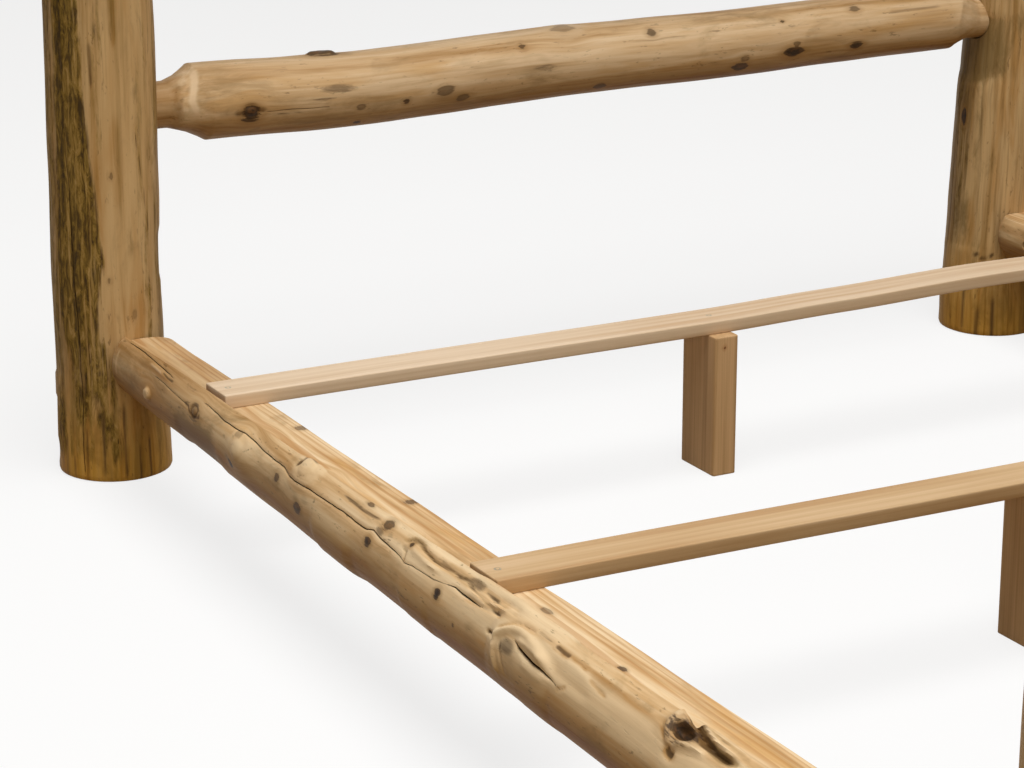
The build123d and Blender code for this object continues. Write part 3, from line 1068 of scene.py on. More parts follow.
def side_rail(name, side, knots, checks, seed, marks, spacing, columns):
    """Angles in the lists are 0 at the top and grow towards the outside of the bed."""
    start, end = (
        (side * RAIL_MIDDLE[sign][0], sign * RAIL_END, RAIL_MIDDLE[sign][1]) for sign in (1, -1)
    )
    log = LogFrame(start, end, (0, 0, 1))
    log.side = -side * log.side  # so that angles grow outwards on both rails
    along = side_rail_stations(log.length, spacing)
    share = along / log.length
    rise = RISE_HEAD + (RISE_FOOT - RISE_HEAD) * share
    inset = INSET_HEAD + (INSET_FOOT - INSET_HEAD) * share
    full = HEAD_R + (FOOT_END_R - HEAD_R) * share
    from_end = np.minimum(along, log.length - along)
    back = np.clip(1 - from_end / DOME_LENGTH, 0, 1)
    profile = full - DOME_DROP * (1 - np.sqrt(1 - back**2))
    natural = ease(from_end, 0.004, 0.05)
    limits = side_rail_limits(rise, inset, profile, profile)
    angles, cracks = column_angles(along, profile, columns, *limits, checks)
    around, radius = grown(along, profile, natural, angles, cracks, knots, seed, marks.lines)
    # the arc's ends lie exactly on the wall's plane and on the ledge's plane
    limits = side_rail_limits(rise, inset, radius[:, 0], radius[:, -1])
    angles[:, 0], angles[:, -1] = limits
    points = close_section(log.place(around, angles, radius), side)
    middles = [np.array(place) - (0, 0, 0.004) for place in (start, end)]
    mesh = carve(skin(name, points, *middles), side_rail_joints(side))

    def sawn(along, angle, radius):
        """1 on the ledge, on the wall and in the holes."""
        points = log.place(along, angle, radius)
        over = points[:, 2] > LEDGE_Z - SKIN_DEPTH
        inside = side * points[:, 0] < POST_X + WALL_INSET + SKIN_DEPTH
        return (over & inside) | (radius < STUB_R + 0.001)

    def painted_shade_and_tone(along, angle, radius):
        """Painted shade darkens the underside, and the end at the head is darker too."""
        # painted shade: the underside is darkened in the colour
        under = ease(np.degrees(np.abs(angle)), 62, 114)
        head = (0.3 + 0.25 * ease(along, 0.05, 0.15)) * (1 - ease(along, 0.18, 0.5))
        return np.maximum(under, head)

    paint_log(mesh, log, knots, checks, seed, sawn, painted_shade_and_tone, marks)
    show(mesh, name, SIDE_RAIL_WOOD, name)


print("radius at the head and at the foot:", round(HEAD_R, 4), round(FOOT_END_R, 4))

# %% [markdown]
# The left side rail lies nearest to the eye, so its marks are listed one by one, each by its
# distance along the log and its angle from the top: small knots, a sawn stub, two knobs, two
# checks that wander from knot to knot, and a rotted hollow near the foot.

# %% The left side rail's knots and checks
LEFT_KNOTS = [
    Knot("stub", 0.163, 88, 0.0085, 1.3, 0.0),
    Knot("ring", 0.321, 65, 0.009, 1.25, 0.55),
    Knot("bump", 0.480, 70, 0.019, 1.2, 0.0),
    Knot("flush", 0.462, 96, 0.005, 1.3, 1.0),
    Knot("flush", 0.470, 54, 0.006, 1.6, 0.3),
    Knot("bump", 0.659, 37, 0.018, 1.2, 0.0),
    Knot("flush", 0.600, 71, 0.0045, 1.4, 0.8),
    Knot("flush", 0.671, 88, 0.0055, 1.5, 0.9),
    Knot("flush", 0.868, 66, 0.0052, 1.3, 1.0),
    Knot("flush", 0.887, 36, 0.0068, 1.2, 0.8),
    Knot("flush", 0.954, 39, 0.0028, 1.2, 0.9),
    Knot("flush", 1.052, 68, 0.0055, 1.1, 1.1),
    Knot("flush", 1.101, 87, 0.0025, 1.2, 0.6),
    Knot("flush", 0.824, 27, 0.0028, 2.4, 0.7),
    Knot("flush", 0.478, -49, 0.0045, 1.6, 0.6),
    Knot("flush", 0.799, -48, 0.0045, 1.7, 0.7),
    Knot("flush", 1.185, -21, 0.0038, 2.4, 0.5),
    Knot("flush", 1.364, -8, 0.0032, 1.8, 0.8),
    Knot("hollow", 1.553, 34, 0.0108, 1.9, 1.0),
]
LEFT_CHECKS = [
    Check([
        (0.037, 37.0, 0), (0.066, 36.1, 0.8), (0.093, 36.1, 1), (0.142, 38.0, 0.7),
        (0.193, 41.1, 0.9), (0.225, 42.7, 0), (0.329, 45.0, 0), (0.355, 46.2, 0.7),
        (0.411, 49.8, 1), (0.448, 49.9, 1), (0.480, 46.6, 1), (0.514, 49.4, 1), (0.546, 52.1, 1),
        (0.579, 52.9, 1), (0.608, 53.3, 1), (0.630, 59.0, 1), (0.652, 59.9, 1), (0.692, 57.6, 1),
        (0.744, 56.4, 1), (0.792, 55.0, 1), (0.831, 56.5, 1.1), (0.852, 55.7, 1.1),
        (0.867, 51.7, 1), (0.889, 54.5, 1.1), (0.918, 56.2, 1), (0.944, 57.5, 0.7),
        (0.959, 61.3, 0.6), (0.980, 58.9, 0.6), (1.004, 57.7, 0.5), (1.034, 57.0, 0.3),
        (1.062, 52.1, 0.2), (1.078, 49.6, 1.0), (1.099, 50.6, 1.5), (1.122, 51.1, 1.2),
        (1.146, 50.9, 0),
    ], 0.0014, 0.006),
    Check([
        (0.158, 55.7, 0), (0.190, 57.2, 0.5), (0.237, 59.9, 0.6), (0.280, 62.2, 0.5),
        (0.306, 63.3, 0), (0.680, 88.8, 0), (1.017, 94.5, 0), (1.208, 57.1, 0), (1.236, 57.3, 0),
        (1.249, 61.5, 2.2), (1.265, 63.7, 2.8), (1.287, 65.7, 2.6), (1.308, 66.8, 1.9),
        (1.327, 69.5, 0.8), (1.340, 71.4, 0),
    ], 0.0014, 0.006),
]
print("left side rail:", len(LEFT_KNOTS), "knots and", len(LEFT_CHECKS), "checks")

# %% [markdown]
# Past the middle the log was wounded while it grew.  Folds of wood run up to the wound, a pale
# lip grew round it, and the weathered wood between them split into threads.  All of that is long
# and thin, so it is drawn with lines.  Most that sink are crevices, painted dark partly as painted
# shade, and most that rise are pale lips.

# %% The left side rail's folds, lips and streaks
LEFT_LINES = [
    # broad swellings and hollows along the lower edge
    Line([(0.253, 126), (0.327, 123), (0.410, 120)], 0.045, -0.0035, 0),
    Line([(0.709, 115), (0.771, 113), (0.832, 113)], 0.04, 0.004, 0),
    Line([(0.955, 113), (0.996, 113), (1.037, 113)], 0.035, 0.002, 0),
    Line([(1.241, 109), (1.282, 109), (1.323, 109)], 0.04, 0.001, 0),
    Line([(1.179, 58), (1.241, 60), (1.322, 62)], 0.05, 0.005, 0),
    # beside the first checks
    Line([(0.135, 45), (0.176, 47), (0.217, 50)], 0.0025, 0.001, -0.5),
    Line([(0.034, 56), (0.036, 77), (0.041, 97)], 0.003, 0.0008, -0.5),
    Line([(0.183, 45), (0.207, 48), (0.230, 48)], 0.0021, -0.0008, 0.8),
    Line([(0.164, 33), (0.182, 35)], 0.003, -0.001, 0.6),
    Line([(0.281, 63), (0.299, 64), (0.308, 70), (0.324, 73), (0.339, 69),
          (0.336, 61)], 0.0021, -0.001, 0.9),
    Line([(0.207, 81), (0.244, 81), (0.280, 78)], 0.004, 0, 0.4),
    Line([(0.761, 37), (0.791, 38), (0.821, 39), (0.847, 38), (0.871, 36)], 0.0021, -0.001, 0.9),
    # the dark crescent over the second knob
    Line([(0.632, 44), (0.636, 34), (0.636, 24), (0.646, 21), (0.660, 24),
          (0.675, 27)], 0.003, -0.0015, 0.95),
    Line([(0.634, 42), (0.639, 34)], 0.0035, -0.0008, 0.6),
    # folds before the scar
    Line([(0.937, 46), (0.951, 48), (0.955, 56), (0.959, 61)], 0.0021, -0.0015, 0.6),
    Line([(0.938, 40), (0.947, 32), (0.964, 31), (0.984, 36), (1.010, 39), (1.039, 38),
          (1.063, 37)], 0.0026, -0.0028, 0.6),
    Line([(0.958, 42), (0.982, 44), (1.012, 47), (1.037, 47)], 0.0045, 0.0024, -0.5),
    Line([(1.002, 51), (1.022, 51), (1.042, 50)], 0.0021, -0.001, 0.55),
    Line([(0.981, 30), (1.015, 33), (1.045, 32)], 0.005, 0.002, -0.35),
    # weathered threads and ridges between the folds and the scar
    Line([(1.063, 37), (1.086, 36), (1.109, 35), (1.131, 33)], 0.0035, -0.001, 0.5),
    Line([(1.076, 35), (1.097, 31), (1.118, 29)], 0.0025, -0.0008, 0.45),
    Line([(1.131, 34), (1.149, 34), (1.165, 34)], 0.0021, -0.001, 0.7),
    Line([(1.105, 54), (1.136, 51), (1.163, 49), (1.190, 45)], 0.0022, -0.0008, 0.4),
    Line([(1.173, 43), (1.193, 42)], 0.0025, -0.001, 0.5),
    Line([(1.107, 44), (1.144, 44), (1.173, 40), (1.203, 38)], 0.004, 0.0022, -0.3),
    Line([(1.099, 24), (1.145, 23), (1.191, 22), (1.232, 25)], 0.006, 0.0022, -0.4),
    Line([(1.160, 32), (1.188, 31), (1.213, 32)], 0.003, -0.0015, 0.3),
    Line([(1.094, 39), (1.144, 43), (1.193, 48)], 0.0022, -0.0018, 0.6),
    Line([(1.142, 36), (1.181, 37), (1.219, 37)], 0.0022, -0.0015, 0.5),
    Line([(1.019, 34), (1.051, 35), (1.080, 38)], 0.002, -0.001, 0.45),
    # the scar: crevices outside it, a pale fold round it, the slit's lips
    Line([(1.174, 67), (1.188, 66), (1.198, 70)], 0.0021, -0.003, 0.95),
    Line([(1.194, 60), (1.208, 51), (1.221, 44), (1.237, 40), (1.254, 40),
          (1.263, 40)], 0.0024, -0.0025, 0.5),
    Line([(1.201, 71), (1.199, 63), (1.210, 55), (1.225, 48), (1.240, 46), (1.259, 47), (1.280, 51),
          (1.300, 56), (1.318, 61)], 0.0055, 0.0045, -0.7),
    Line([(1.200, 69), (1.201, 80), (1.207, 91), (1.215, 101)], 0.004, 0.003, -0.45),
    Line([(1.212, 66), (1.215, 76), (1.223, 86), (1.232, 96)], 0.0024, -0.0015, 0.3),
    Line([(1.242, 55), (1.263, 55), (1.283, 57), (1.306, 60)], 0.0035, 0.0025, -0.7),
    Line([(1.264, 72), (1.288, 74), (1.313, 75)], 0.0035, 0.001, -0.25),
    Line([(1.337, 74), (1.347, 70), (1.353, 66)], 0.0022, -0.001, 0.6),
    # streaks beyond the scar
    Line([(1.259, 36), (1.279, 37), (1.299, 39)], 0.0024, -0.0015, 0.55),
    Line([(1.301, 38), (1.319, 39), (1.334, 39)], 0.0042, -0.0016, 0.8),
    Line([(1.336, 39), (1.354, 38), (1.370, 40)], 0.0021, -0.001, 0.5),
    Line([(1.383, 46), (1.404, 49), (1.423, 51)], 0.0018, -0.0008, 0.4),
    Line([(1.304, 56), (1.333, 59), (1.369, 62), (1.402, 63)], 0.006, -0.001, 0),
    Line([(1.277, 39), (1.314, 43), (1.351, 44), (1.397, 47)], 0.006, 0.002, -0.35),
    Line([(1.444, 37), (1.474, 38), (1.499, 35)], 0.004, -0.001, 0.25),
    # the hollow: a wide crevice behind it, a thin pale ridge, the lips of its near side
    Line([(1.542, 16), (1.556, 20), (1.571, 26), (1.587, 30), (1.606, 32), (1.627, 33),
          (1.646, 32)], 0.0045, -0.009, 1.0),
    Line([(1.537, 8), (1.553, 12), (1.571, 18), (1.589, 23), (1.608, 26), (1.628, 27),
          (1.647, 26)], 0.0032, 0.0022, -1.0),
    Line([(1.550, 5), (1.570, 12), (1.590, 17), (1.608, 21), (1.627, 22)], 0.0018, 0, 0.6),
    Line([(1.529, 21), (1.534, 15), (1.541, 10)], 0.0016, 0.0012, -0.6),
    Line([(1.531, 13), (1.526, 21), (1.526, 31), (1.532, 40), (1.542, 49),
          (1.554, 54)], 0.0035, 0.0028, 0.12),
    Line([(1.516, 34), (1.528, 44), (1.541, 52)], 0.0024, -0.001, 0.45),
    Line([(1.555, 50), (1.569, 44), (1.584, 42), (1.605, 41)], 0.0035, 0.003, -0.8),
    Line([(1.547, 54), (1.554, 58), (1.564, 60)], 0.005, -0.003, 0.95),
]
print("left side rail:", len(LEFT_LINES), "lines")

# %% [markdown]
# Tints without form come last: the upper flank that faces the lamps is painted paler as painted
# light, the knobs and the sawn stub are painted paler on top as painted highlight, the scar and the
# hollow are dark inside, and a few small flats have weathered grey.

# %% The left side rail, made
LEFT_TINTS = [
    # painted light: the upper flank that faces the lamps is painted paler
    Band([(0.9, 48, 66), (1.1, 46, 72), (1.3, 44, 76), (1.5, 42, 76), (1.8, 42, 76)], -0.75),
    Patch(1.228, 67, 0.05, 0.026, 0.66),
    Patch(1.555, 33, 0.04, 0.022, 1.2),
    Patch(1.578, 31, 0.05, 0.016, 0.8),
    # painted highlight: the two knobs and the sawn stub are painted paler on top
    Patch(0.482, 68, 0.03, 0.024, -0.8),
    Patch(0.163, 88, 0.022, 0.02, -0.8),
    Patch(0.657, 32, 0.03, 0.02, -0.6),
    Patch(0.688, 73, 0.03, 0.016, 0.4),
    Patch(0.663, 78, 0.02, 0.012, 0.35),
    Patch(0.449, 91, 0.03, 0.01, 0.5),
    Patch(0.822, 27, 0.02, 0.01, 0.2),
    Patch(0.813, -6, 0.05, 0.012, 0.18),
    Patch(0.132, -29, 0.03, 0.01, 0.5),
    Patch(1.143, 89, 0.06, 0.016, 0.3),
]
LEFT_GREY = [
    Patch(0.881, 48, 0.03, 0.014, 0.9),
    Patch(0.905, 46, 0.02, 0.012, 0.6),
    Patch(1.106, 33, 0.06, 0.018, 0.9),
    Patch(1.151, 35, 0.05, 0.012, 0.6),
    Patch(1.319, 39, 0.03, 0.012, 0.5),
    Patch(0.275, 41, 0.06, 0.014, 0.6),
]
LEFT_MARKS = Marks(lines=LEFT_LINES, tints=LEFT_TINTS, grey=LEFT_GREY)
LEFT_SPACING = [(0.42, 0.003), (0.62, 0.0036), (0.95, 0.0034), (1.68, 0.0022), (1.9, 0.0042)]
side_rail(
    "side_rail_left", -1, LEFT_KNOTS, LEFT_CHECKS, 3, LEFT_MARKS, LEFT_SPACING, columns=156
)

# %% [markdown]
# The logs further off need no list of their own: their knots and checks are scattered.  Branches
# grow in whorls, a few at one height, and so do their knots.  Every log has a seed of its own, so
# the choice looks free but is the same on every run.


# %% Scattered knots and checks
KINDS = ("flush", "ring", "bump", "stub", "pit", "flush")


def scattered(seed, length, count, lift=0.08):
    """Knots in loose whorls, as branches grow, from a seeded choice."""
    pick = random.Random(seed)
    knots = []
    while len(knots) < count:
        whorl = pick.uniform(lift, length - lift)
        for _ in range(pick.choice((1, 2, 2, 3))):
            kind = pick.choice(KINDS)
            size = pick.uniform(0.006, 0.014) if kind != "bump" else pick.uniform(0.014, 0.022)
            along = min(max(whorl + pick.uniform(-0.02, 0.02), lift), length - lift)
            angle = pick.uniform(-180, 180)
            tone = 0.3 if kind in ("bump", "stub") else 1.0
            knots.append(Knot(kind, along, angle, size, pick.uniform(1.0, 1.5), tone))
    return knots


def seasoning(seed, length, count):
    """Drying checks along a log, from a seeded choice."""
    pick = random.Random(seed)
    checks = []
    for i in range(count):
        first = pick.uniform(0.05, 0.45) * length
        last = min(first + pick.uniform(0.2, 0.5) * length, length - 0.06)
        angle = pick.uniform(30, 70) + 150 * i
        turn = pick.uniform(-12, 12)
        path = [
            (first, angle, 0), (first + 0.05, angle, 1),
            (last - 0.05, angle + turn, 1), (last, angle + turn, 0),
        ]
        checks.append(Check(path, pick.uniform(0.0012, 0.002), pick.uniform(0.004, 0.007)))
    return checks


side_rail(
    "side_rail_right", 1, scattered(11, 2.08, 14), seasoning(5, 2.08, 1), 8, Marks(),
    [(1.0, 0.006)], columns=96,
)

# %% [markdown]
# ## The corner posts
# A post stands on its butt, which swells, and thins towards a rounded top.  It is turned like a
# spindle, from stations of height and radius that also say how much of the natural surface shows
# there, from 0 on a sawn face to 1 on the log.  Mortises, the socket for the side rail's stub, the
# counterbored bolt hole and the screw holes are cut last, at the heights of the rails they take.


# %% Stations and joints of a post
CROWN = 0.036  # height of the rounded top
SWELL_LOW, SWELL_HIGH = 0.04, 0.135  # the butt swells below these heights
THIN_FROM = 0.3


def post_stations(height, crown_r, foot_r, spacing):
    """Rows of height, radius and how much of the natural surface shows."""
    rows = [(0.0, foot_r - 0.005, 0.0), (0.0015, foot_r - 0.0015, 0.1), (0.005, foot_r, 0.3)]
    crown_start = height - CROWN
    for z in np.linspace(0.01, crown_start, int(height / spacing)):
        swell = (foot_r - POST_R) * (1 - ease(z, SWELL_LOW, SWELL_HIGH))
        thin = np.clip((z - THIN_FROM) / (crown_start - THIN_FROM), 0, 1) * (POST_R - crown_r)
        rows.append((float(z), POST_R + swell - float(thin), float(ease(z, 0, 0.03))))
    for t in np.linspace(0, 1, 14)[1:-1]:
        rows.append((crown_start + CROWN * (2 * t - t * t), crown_r * (1 - t * t), 1 - 0.8 * t))
    return rows


def post_holes(side, end, rail_heights):
    """Cutters for the mortises with their screws, the socket, the counterbore and the bolt."""
    x, y = side * POST_X, end * POST_Y
    holes = []
    for z in rail_heights:
        holes.append(bar((x - side * MORTISE_FLOOR, y, z), (-side, 0, 0), MORTISE_R, CUTTER))
        head = y + POST_R - SCREW_SEAT
        holes.append(bar((side * SCREW_X, head, z), (0, 1, 0), HEAD_HOLE_R, 0.05, 24))
        holes.append(bar((side * SCREW_X, head + 0.002, z), (0, -1, 0), PILOT_R, 0.066, 16))
    x, z = RAIL_MIDDLE[end]
    x *= side
    face = POST_Y + POST_R
    for y, direction, radius, length in (
        (RAIL_END + STUB_LENGTH + SOCKET_GAP, -1, SOCKET_R, CUTTER),
        (face - COUNTERBORE_DEPTH, 1, COUNTERBORE_R, 0.05),
        (face, -1, BOLT_HOLE_R, CUTTER),
    ):
        holes.append(bar((x, end * y, z), (0, end * direction, 0), radius, length))
    return holes


print("stations of a head post:", len(post_stations(HEAD_HEIGHT, 0.07, 0.08, 0.006)))

# %% [markdown]
# The seam, where the rows of points start and end, is turned away from the side that one sees.
# A post's butt has gone darker over the years, and its rounded top shows a little end grain.

# %% Build a post
POST_SPACING = 0.006
POST_COLUMNS = 121


def post(name, side, end, crown_r, foot_r, knots, checks, seed, marks, bow=()):
    """Angles are 0 towards the foot of the bed and grow towards +X."""
    height = HEAD_HEIGHT if end > 0 else FOOT_HEIGHT
    x, y = side * POST_X, end * POST_Y
    log = LogFrame((x, y, 0), (x, y, height), (0, -1, 0), bow)
    stations = post_stations(height, crown_r, foot_r, POST_SPACING)
    heights, profile, natural = (np.array(part, float) for part in zip(*stations))
    seam = math.radians(175.0 if end > 0 else 10.0)
    safe = np.maximum(profile, LEAST_RADIUS)
    angles, cracks = column_angles(heights, safe, POST_COLUMNS, seam, seam + 2 * math.pi, checks)
    angles = angles[:, :-1]
    around, radius = grown(heights, profile, natural, angles, cracks, knots, seed, marks.lines)
    middles = [(x, y, level) for level in (heights[0], heights[-1])]
    holes = post_holes(side, end, HEAD_RAILS if end > 0 else FOOT_RAILS)
    mesh = carve(skin(name, log.place(around, angles, radius), *middles), [("DIFFERENCE", holes)])

    def sawn(along, angle, radius):
        """1 in the holes, and most of the rounded top."""
        inside = radius < np.interp(along, heights, profile) - 0.022
        return np.maximum(inside, 0.8 * ease(along, height - 0.03, height - 0.012))

    def worn(along, angle, radius):
        """The butt has gone darker."""
        return 0.9 * (1 - ease(along, 0.0, 0.2))

    paint_log(mesh, log, knots, checks, seed, sawn, worn, marks)
    show(mesh, name, POST_WOOD, name)


def above(low, knots):
    """The same knots moved up a post, so that they start low metres over the floor."""
    return [knot._replace(along=knot.along + low) for knot in knots]


# %% [markdown]
# The left post at the head has a long check with inner bark on both sides of it, paler bare wood
# towards the foot of the bed, and dark streaks that rise from the floor.  Above the mattress its
# knots are scattered again.

# %% The left post at the head
LEFT_POST_CHECK = Check(
    [(0.01, -53, 1), (0.062, -54, 0.8), (0.122, -53, 1), (0.166, -54, 1.1), (0.225, -54, 1.2),
     (0.283, -56, 1.2), (0.356, -57, 1), (0.413, -59, 1), (0.49, -62, 0.6), (0.52, -63, 0)],
    0.0015,
    0.006,
)
LEFT_POST_BARK = [
    Band(
        [(0.17, -72, -34), (0.227, -75, -33), (0.271, -77, -30), (0.329, -77, -24),
         (0.387, -76, -29), (0.458, -76, -33), (0.529, -76, -39), (0.585, -76, -42),
         (0.9, -74, -45)],
        1.0,
    ),
    Band([(0.05, -60, -40), (0.1, -66, -28), (0.16, -72, -20), (0.24, -74, -24)], 0.62),
    Band([(0.0, -36, -8), (0.06, -34, -12), (0.12, -30, -14), (0.16, -27, -18), (0.2, -26, -20)], 0.6),
    Band([(0.0, -114, -76), (0.6, -114, -76), (1.24, -114, -76)], 0.52),
    Band([(0.0, -74, -30), (0.15, -74, -40), (0.25, -74, -60)], 0.45),
    Band([(0.1, 20, 60), (0.5, 12, 60), (1.24, 20, 60)], 0.34),
    Band([(0.1, 60, 100), (0.5, 60, 100), (1.24, 60, 100)], 0.5),
    Band([(0.46, -30, -16), (0.56, -30, -18), (0.75, -27, -14), (0.9, -26, -16)], 0.42),
]
LEFT_POST_TINTS = [Band([(0.24, -22, 14), (0.34, -22, 26), (0.5, -24, 34), (0.74, -24, 30)], -0.55)]
LEFT_POST_LINES = [
    Line([(0.0, -118), (0.05, -118)], 0.03, -0.003, 0),
    Line([(0.11, -118), (0.15, -118)], 0.035, 0.003, 0),
    Line([(0.28, 90), (0.36, 90)], 0.04, -0.005, 0),
    Line([(0.2, -37), (0.33, -24), (0.46, -33), (0.6, -43)], 0.0022, 0, 0.7),
    Line([(0.52, 14), (0.459, 21), (0.388, 28), (0.34, 33)], 0.0026, -0.0006, 0.7),
    Line([(0.72, -6), (0.63, -6)], 0.003, 0, 0.5),
    Line([(0.53, -8), (0.46, -7), (0.40, -6)], 0.006, 0, 0.3),
    Line([(0.64, -31), (0.57, -30)], 0.004, 0, 0.6),
    Line([(0.66, -18), (0.58, -17)], 0.003, 0, 0.5),
    Line([(0.44, 6), (0.38, 8), (0.32, 7)], 0.004, 0, 0.25),
    Line([(0.70, 34), (0.60, 36), (0.50, 38)], 0.003, 0, 0.4),
    Line([(0.0, -9), (0.06, -9), (0.125, -8)], 0.0032, 0, 0.85),
    Line([(0.0, -32), (0.07, -31), (0.11, -31)], 0.0036, 0, 0.85),
    Line([(-0.01, -50), (0.05, -49), (0.09, -48)], 0.003, 0, 0.6),
    Line([(-0.01, 5), (0.06, 6)], 0.003, 0, 0.75),
    Line([(-0.01, 17), (0.07, 16)], 0.0034, 0, 0.8),
    Line([(-0.01, 30), (0.06, 31)], 0.003, 0, 0.6),
    Line([(-0.01, -77), (0.07, -76)], 0.0034, 0, 0.75),
    Line([(-0.01, -20), (0.05, -20)], 0.0024, 0, 0.6),
    Line([(-0.01, -66), (0.04, -65)], 0.003, 0, 0.6),
]
LEFT_POST_BOW = [
    (0, 0, 0), (0.15, 0, -0.0015), (0.3, 0, -0.003), (0.45, 0, -0.001), (0.6, 0, 0), (1.27, 0, 0)
]
LEFT_POST_KNOTS = [
    Knot("flush", 0.246, 8, 0.0045, 2.0, 0.3),
    Knot("flush", 0.449, -13, 0.003, 1.5, 0.45),
    Knot("flush", 0.299, -17, 0.003, 1.5, 0.45),
]
post(
    "headboard_post_left", -1, 1, 0.074, 0.082,
    LEFT_POST_KNOTS + above(0.6, scattered(21, 0.6, 6)), [LEFT_POST_CHECK], 21,
    Marks(lines=LEFT_POST_LINES, tints=LEFT_POST_TINTS, bark=LEFT_POST_BARK), LEFT_POST_BOW,
)

# %% [markdown]
# From the front only a strip of the right post shows beside the cross rails.  It is stained brown
# there, leans outwards a few millimetres over the lowest rail, and has one large knot.

# %% The right post at the head
RIGHT_POST_BARK = [
    Band([(0.1, -112, -84), (0.2, -110, -86), (0.32, -110, -78), (0.6, -110, -76)], 0.42),
]
RIGHT_POST_TINTS = [
    Band([(0.1, -116, -84), (0.2, -116, -84), (0.32, -116, -72), (0.6, -116, -66),
          (0.8, -116, -70)], 0.44),
    Band([(-0.1, -70, 70), (0.6, -66, 70), (1.3, -66, 70)], 0.32),
]
RIGHT_POST_LINES = [
    Line([(0.10, -90), (0.15, -90)], 0.05, 0.002, 0),
    Line([(0.42, -90), (0.50, -90), (0.54, -90)], 0.06, -0.006, 0),
    Line([(0.139, -60), (0.134, -50), (0.135, -40), (0.141, -33)], 0.002, -0.001, 0.9),
    Line([(0.15, -41), (0.18, -42), (0.215, -43)], 0.004, 0.0015, -0.5),
    Line([(0.0, -70), (0.06, -69), (0.1, -69)], 0.0034, 0, 0.7),
    Line([(-0.01, -52), (0.05, -51)], 0.003, 0, 0.6),
    Line([(-0.01, -34), (0.07, -34)], 0.003, 0, 0.6),
]
RIGHT_POST_BOW = [
    (0, 0, 0), (0.126, 0, -0.002), (0.2, 0, 0.001), (0.3, 0, 0.004), (0.39, 0, 0.0045),
    (0.44, 0, 0.007), (0.49, 0, 0.009), (0.56, 0, 0.009), (0.75, 0, 0.003), (0.95, 0, 0),
    (1.27, 0, 0),
]
post(
    "headboard_post_right", 1, 1, 0.066, 0.085,
    [Knot("flush", 0.364, -89, 0.006, 2.2, 1.2), *above(0.55, scattered(22, 0.65, 6))],
    seasoning(7, 1.27, 1), 25,
    Marks(lines=RIGHT_POST_LINES, tints=RIGHT_POST_TINTS, bark=RIGHT_POST_BARK), RIGHT_POST_BOW,
)

# %% [markdown]
# The two posts at the foot are the same log joinery, cut shorter, so that one can sit on the bed's
# end and look over the footboard.

# %% The posts at the foot
for side, seed in ((-1, 23), (1, 24)):
    post(
        "footboard_post_" + ("left" if side < 0 else "right"), side, -1, 0.074, 0.084,
        scattered(seed, 0.76, 7), seasoning(seed - 15, 0.76, 1), seed + 4, Marks(),
    )

# %% [markdown]
# ## The cross rails
# A cross rail keeps its bark-smooth surface almost to the posts.  There the drawknife took it
# down in two cuts, a flat facet and then a hollow that ends in the round tenon.  The hand did not
# cut it evenly, so the hollow is longer underneath than at the front.  Each table below gives the
# radius that the knife left, on four sides of the rail, and the shape between them is blended.

# %% Drawknife cuts at a rail's end
# distance from the post's axis in metres and radius in mm: front 90, top 0, back -90, bottom 180
END_CUTS = {
    90: [(0.090, 33.5), (0.097, 36), (0.107, 45), (0.125, 49.5), (0.150, 54.5), (0.175, 62),
         (0.2, 80)],
    0: [(0.094, 33.5), (0.113, 40), (0.124, 47), (0.132, 53), (0.140, 60), (0.16, 80)],
    -90: [(0.092, 33.5), (0.105, 39), (0.125, 48), (0.145, 54), (0.160, 60), (0.18, 80)],
    180: [(0.094, 33.5), (0.107, 37), (0.123, 42), (0.142, 51), (0.158, 60), (0.17, 80)],
}
SHORT_CUTS = {
    90: [(0.072, 33.5), (0.080, 36), (0.098, 42), (0.118, 47.5), (0.135, 54), (0.16, 80)],
    0: [(0.072, 33.5), (0.082, 40), (0.098, 48), (0.112, 55), (0.13, 80)],
    -90: [(0.072, 33.5), (0.085, 40), (0.105, 48), (0.125, 58), (0.15, 80)],
    180: [(0.074, 33.5), (0.088, 35), (0.104, 42), (0.118, 49), (0.127, 56), (0.15, 80)],
}


def end_cut(from_axis, angle, cuts):
    """Largest radius that the drawknife left, in metres."""
    weights = total = 0
    for degrees, rows in cuts.items():
        weight = np.clip(np.cos(angle - math.radians(degrees)), 0, 1) ** 2
        table = np.array(rows)
        weights = weights + weight * np.interp(from_axis, table[:, 0], table[:, 1]) * MM
        total = total + weight
    return weights / total


# %% [markdown]
# The rail is skinned from tip to tip in one mesh, tenons included.  Its relief is worked out for
# the whole log first, and the knife's cut is then simply the smaller of two radii, which leaves
# the crisp edges of real tool work where the two meet.

# %% Build a cross rail
TIP_X = POST_X - TENON_TIP
CREST_FROM = 0.1336  # the log tapers between places this far from its two ends
CROSS_COLUMNS = 109
ABOUT_R = 0.055


def cross_rail_stations(length):
    """Distances along the rail: close at the tips and over the cuts, wider between them."""
    ends = np.array([0, 0.0012, 0.003, 0.03, 0.05])
    fine = np.arange(0.052, 0.16, 0.0022)
    middle = np.linspace(0.162, length - 0.162, int(length / 0.0045))
    half = np.concatenate([ends, fine])
    return np.concatenate([half, middle, length - half[::-1]])


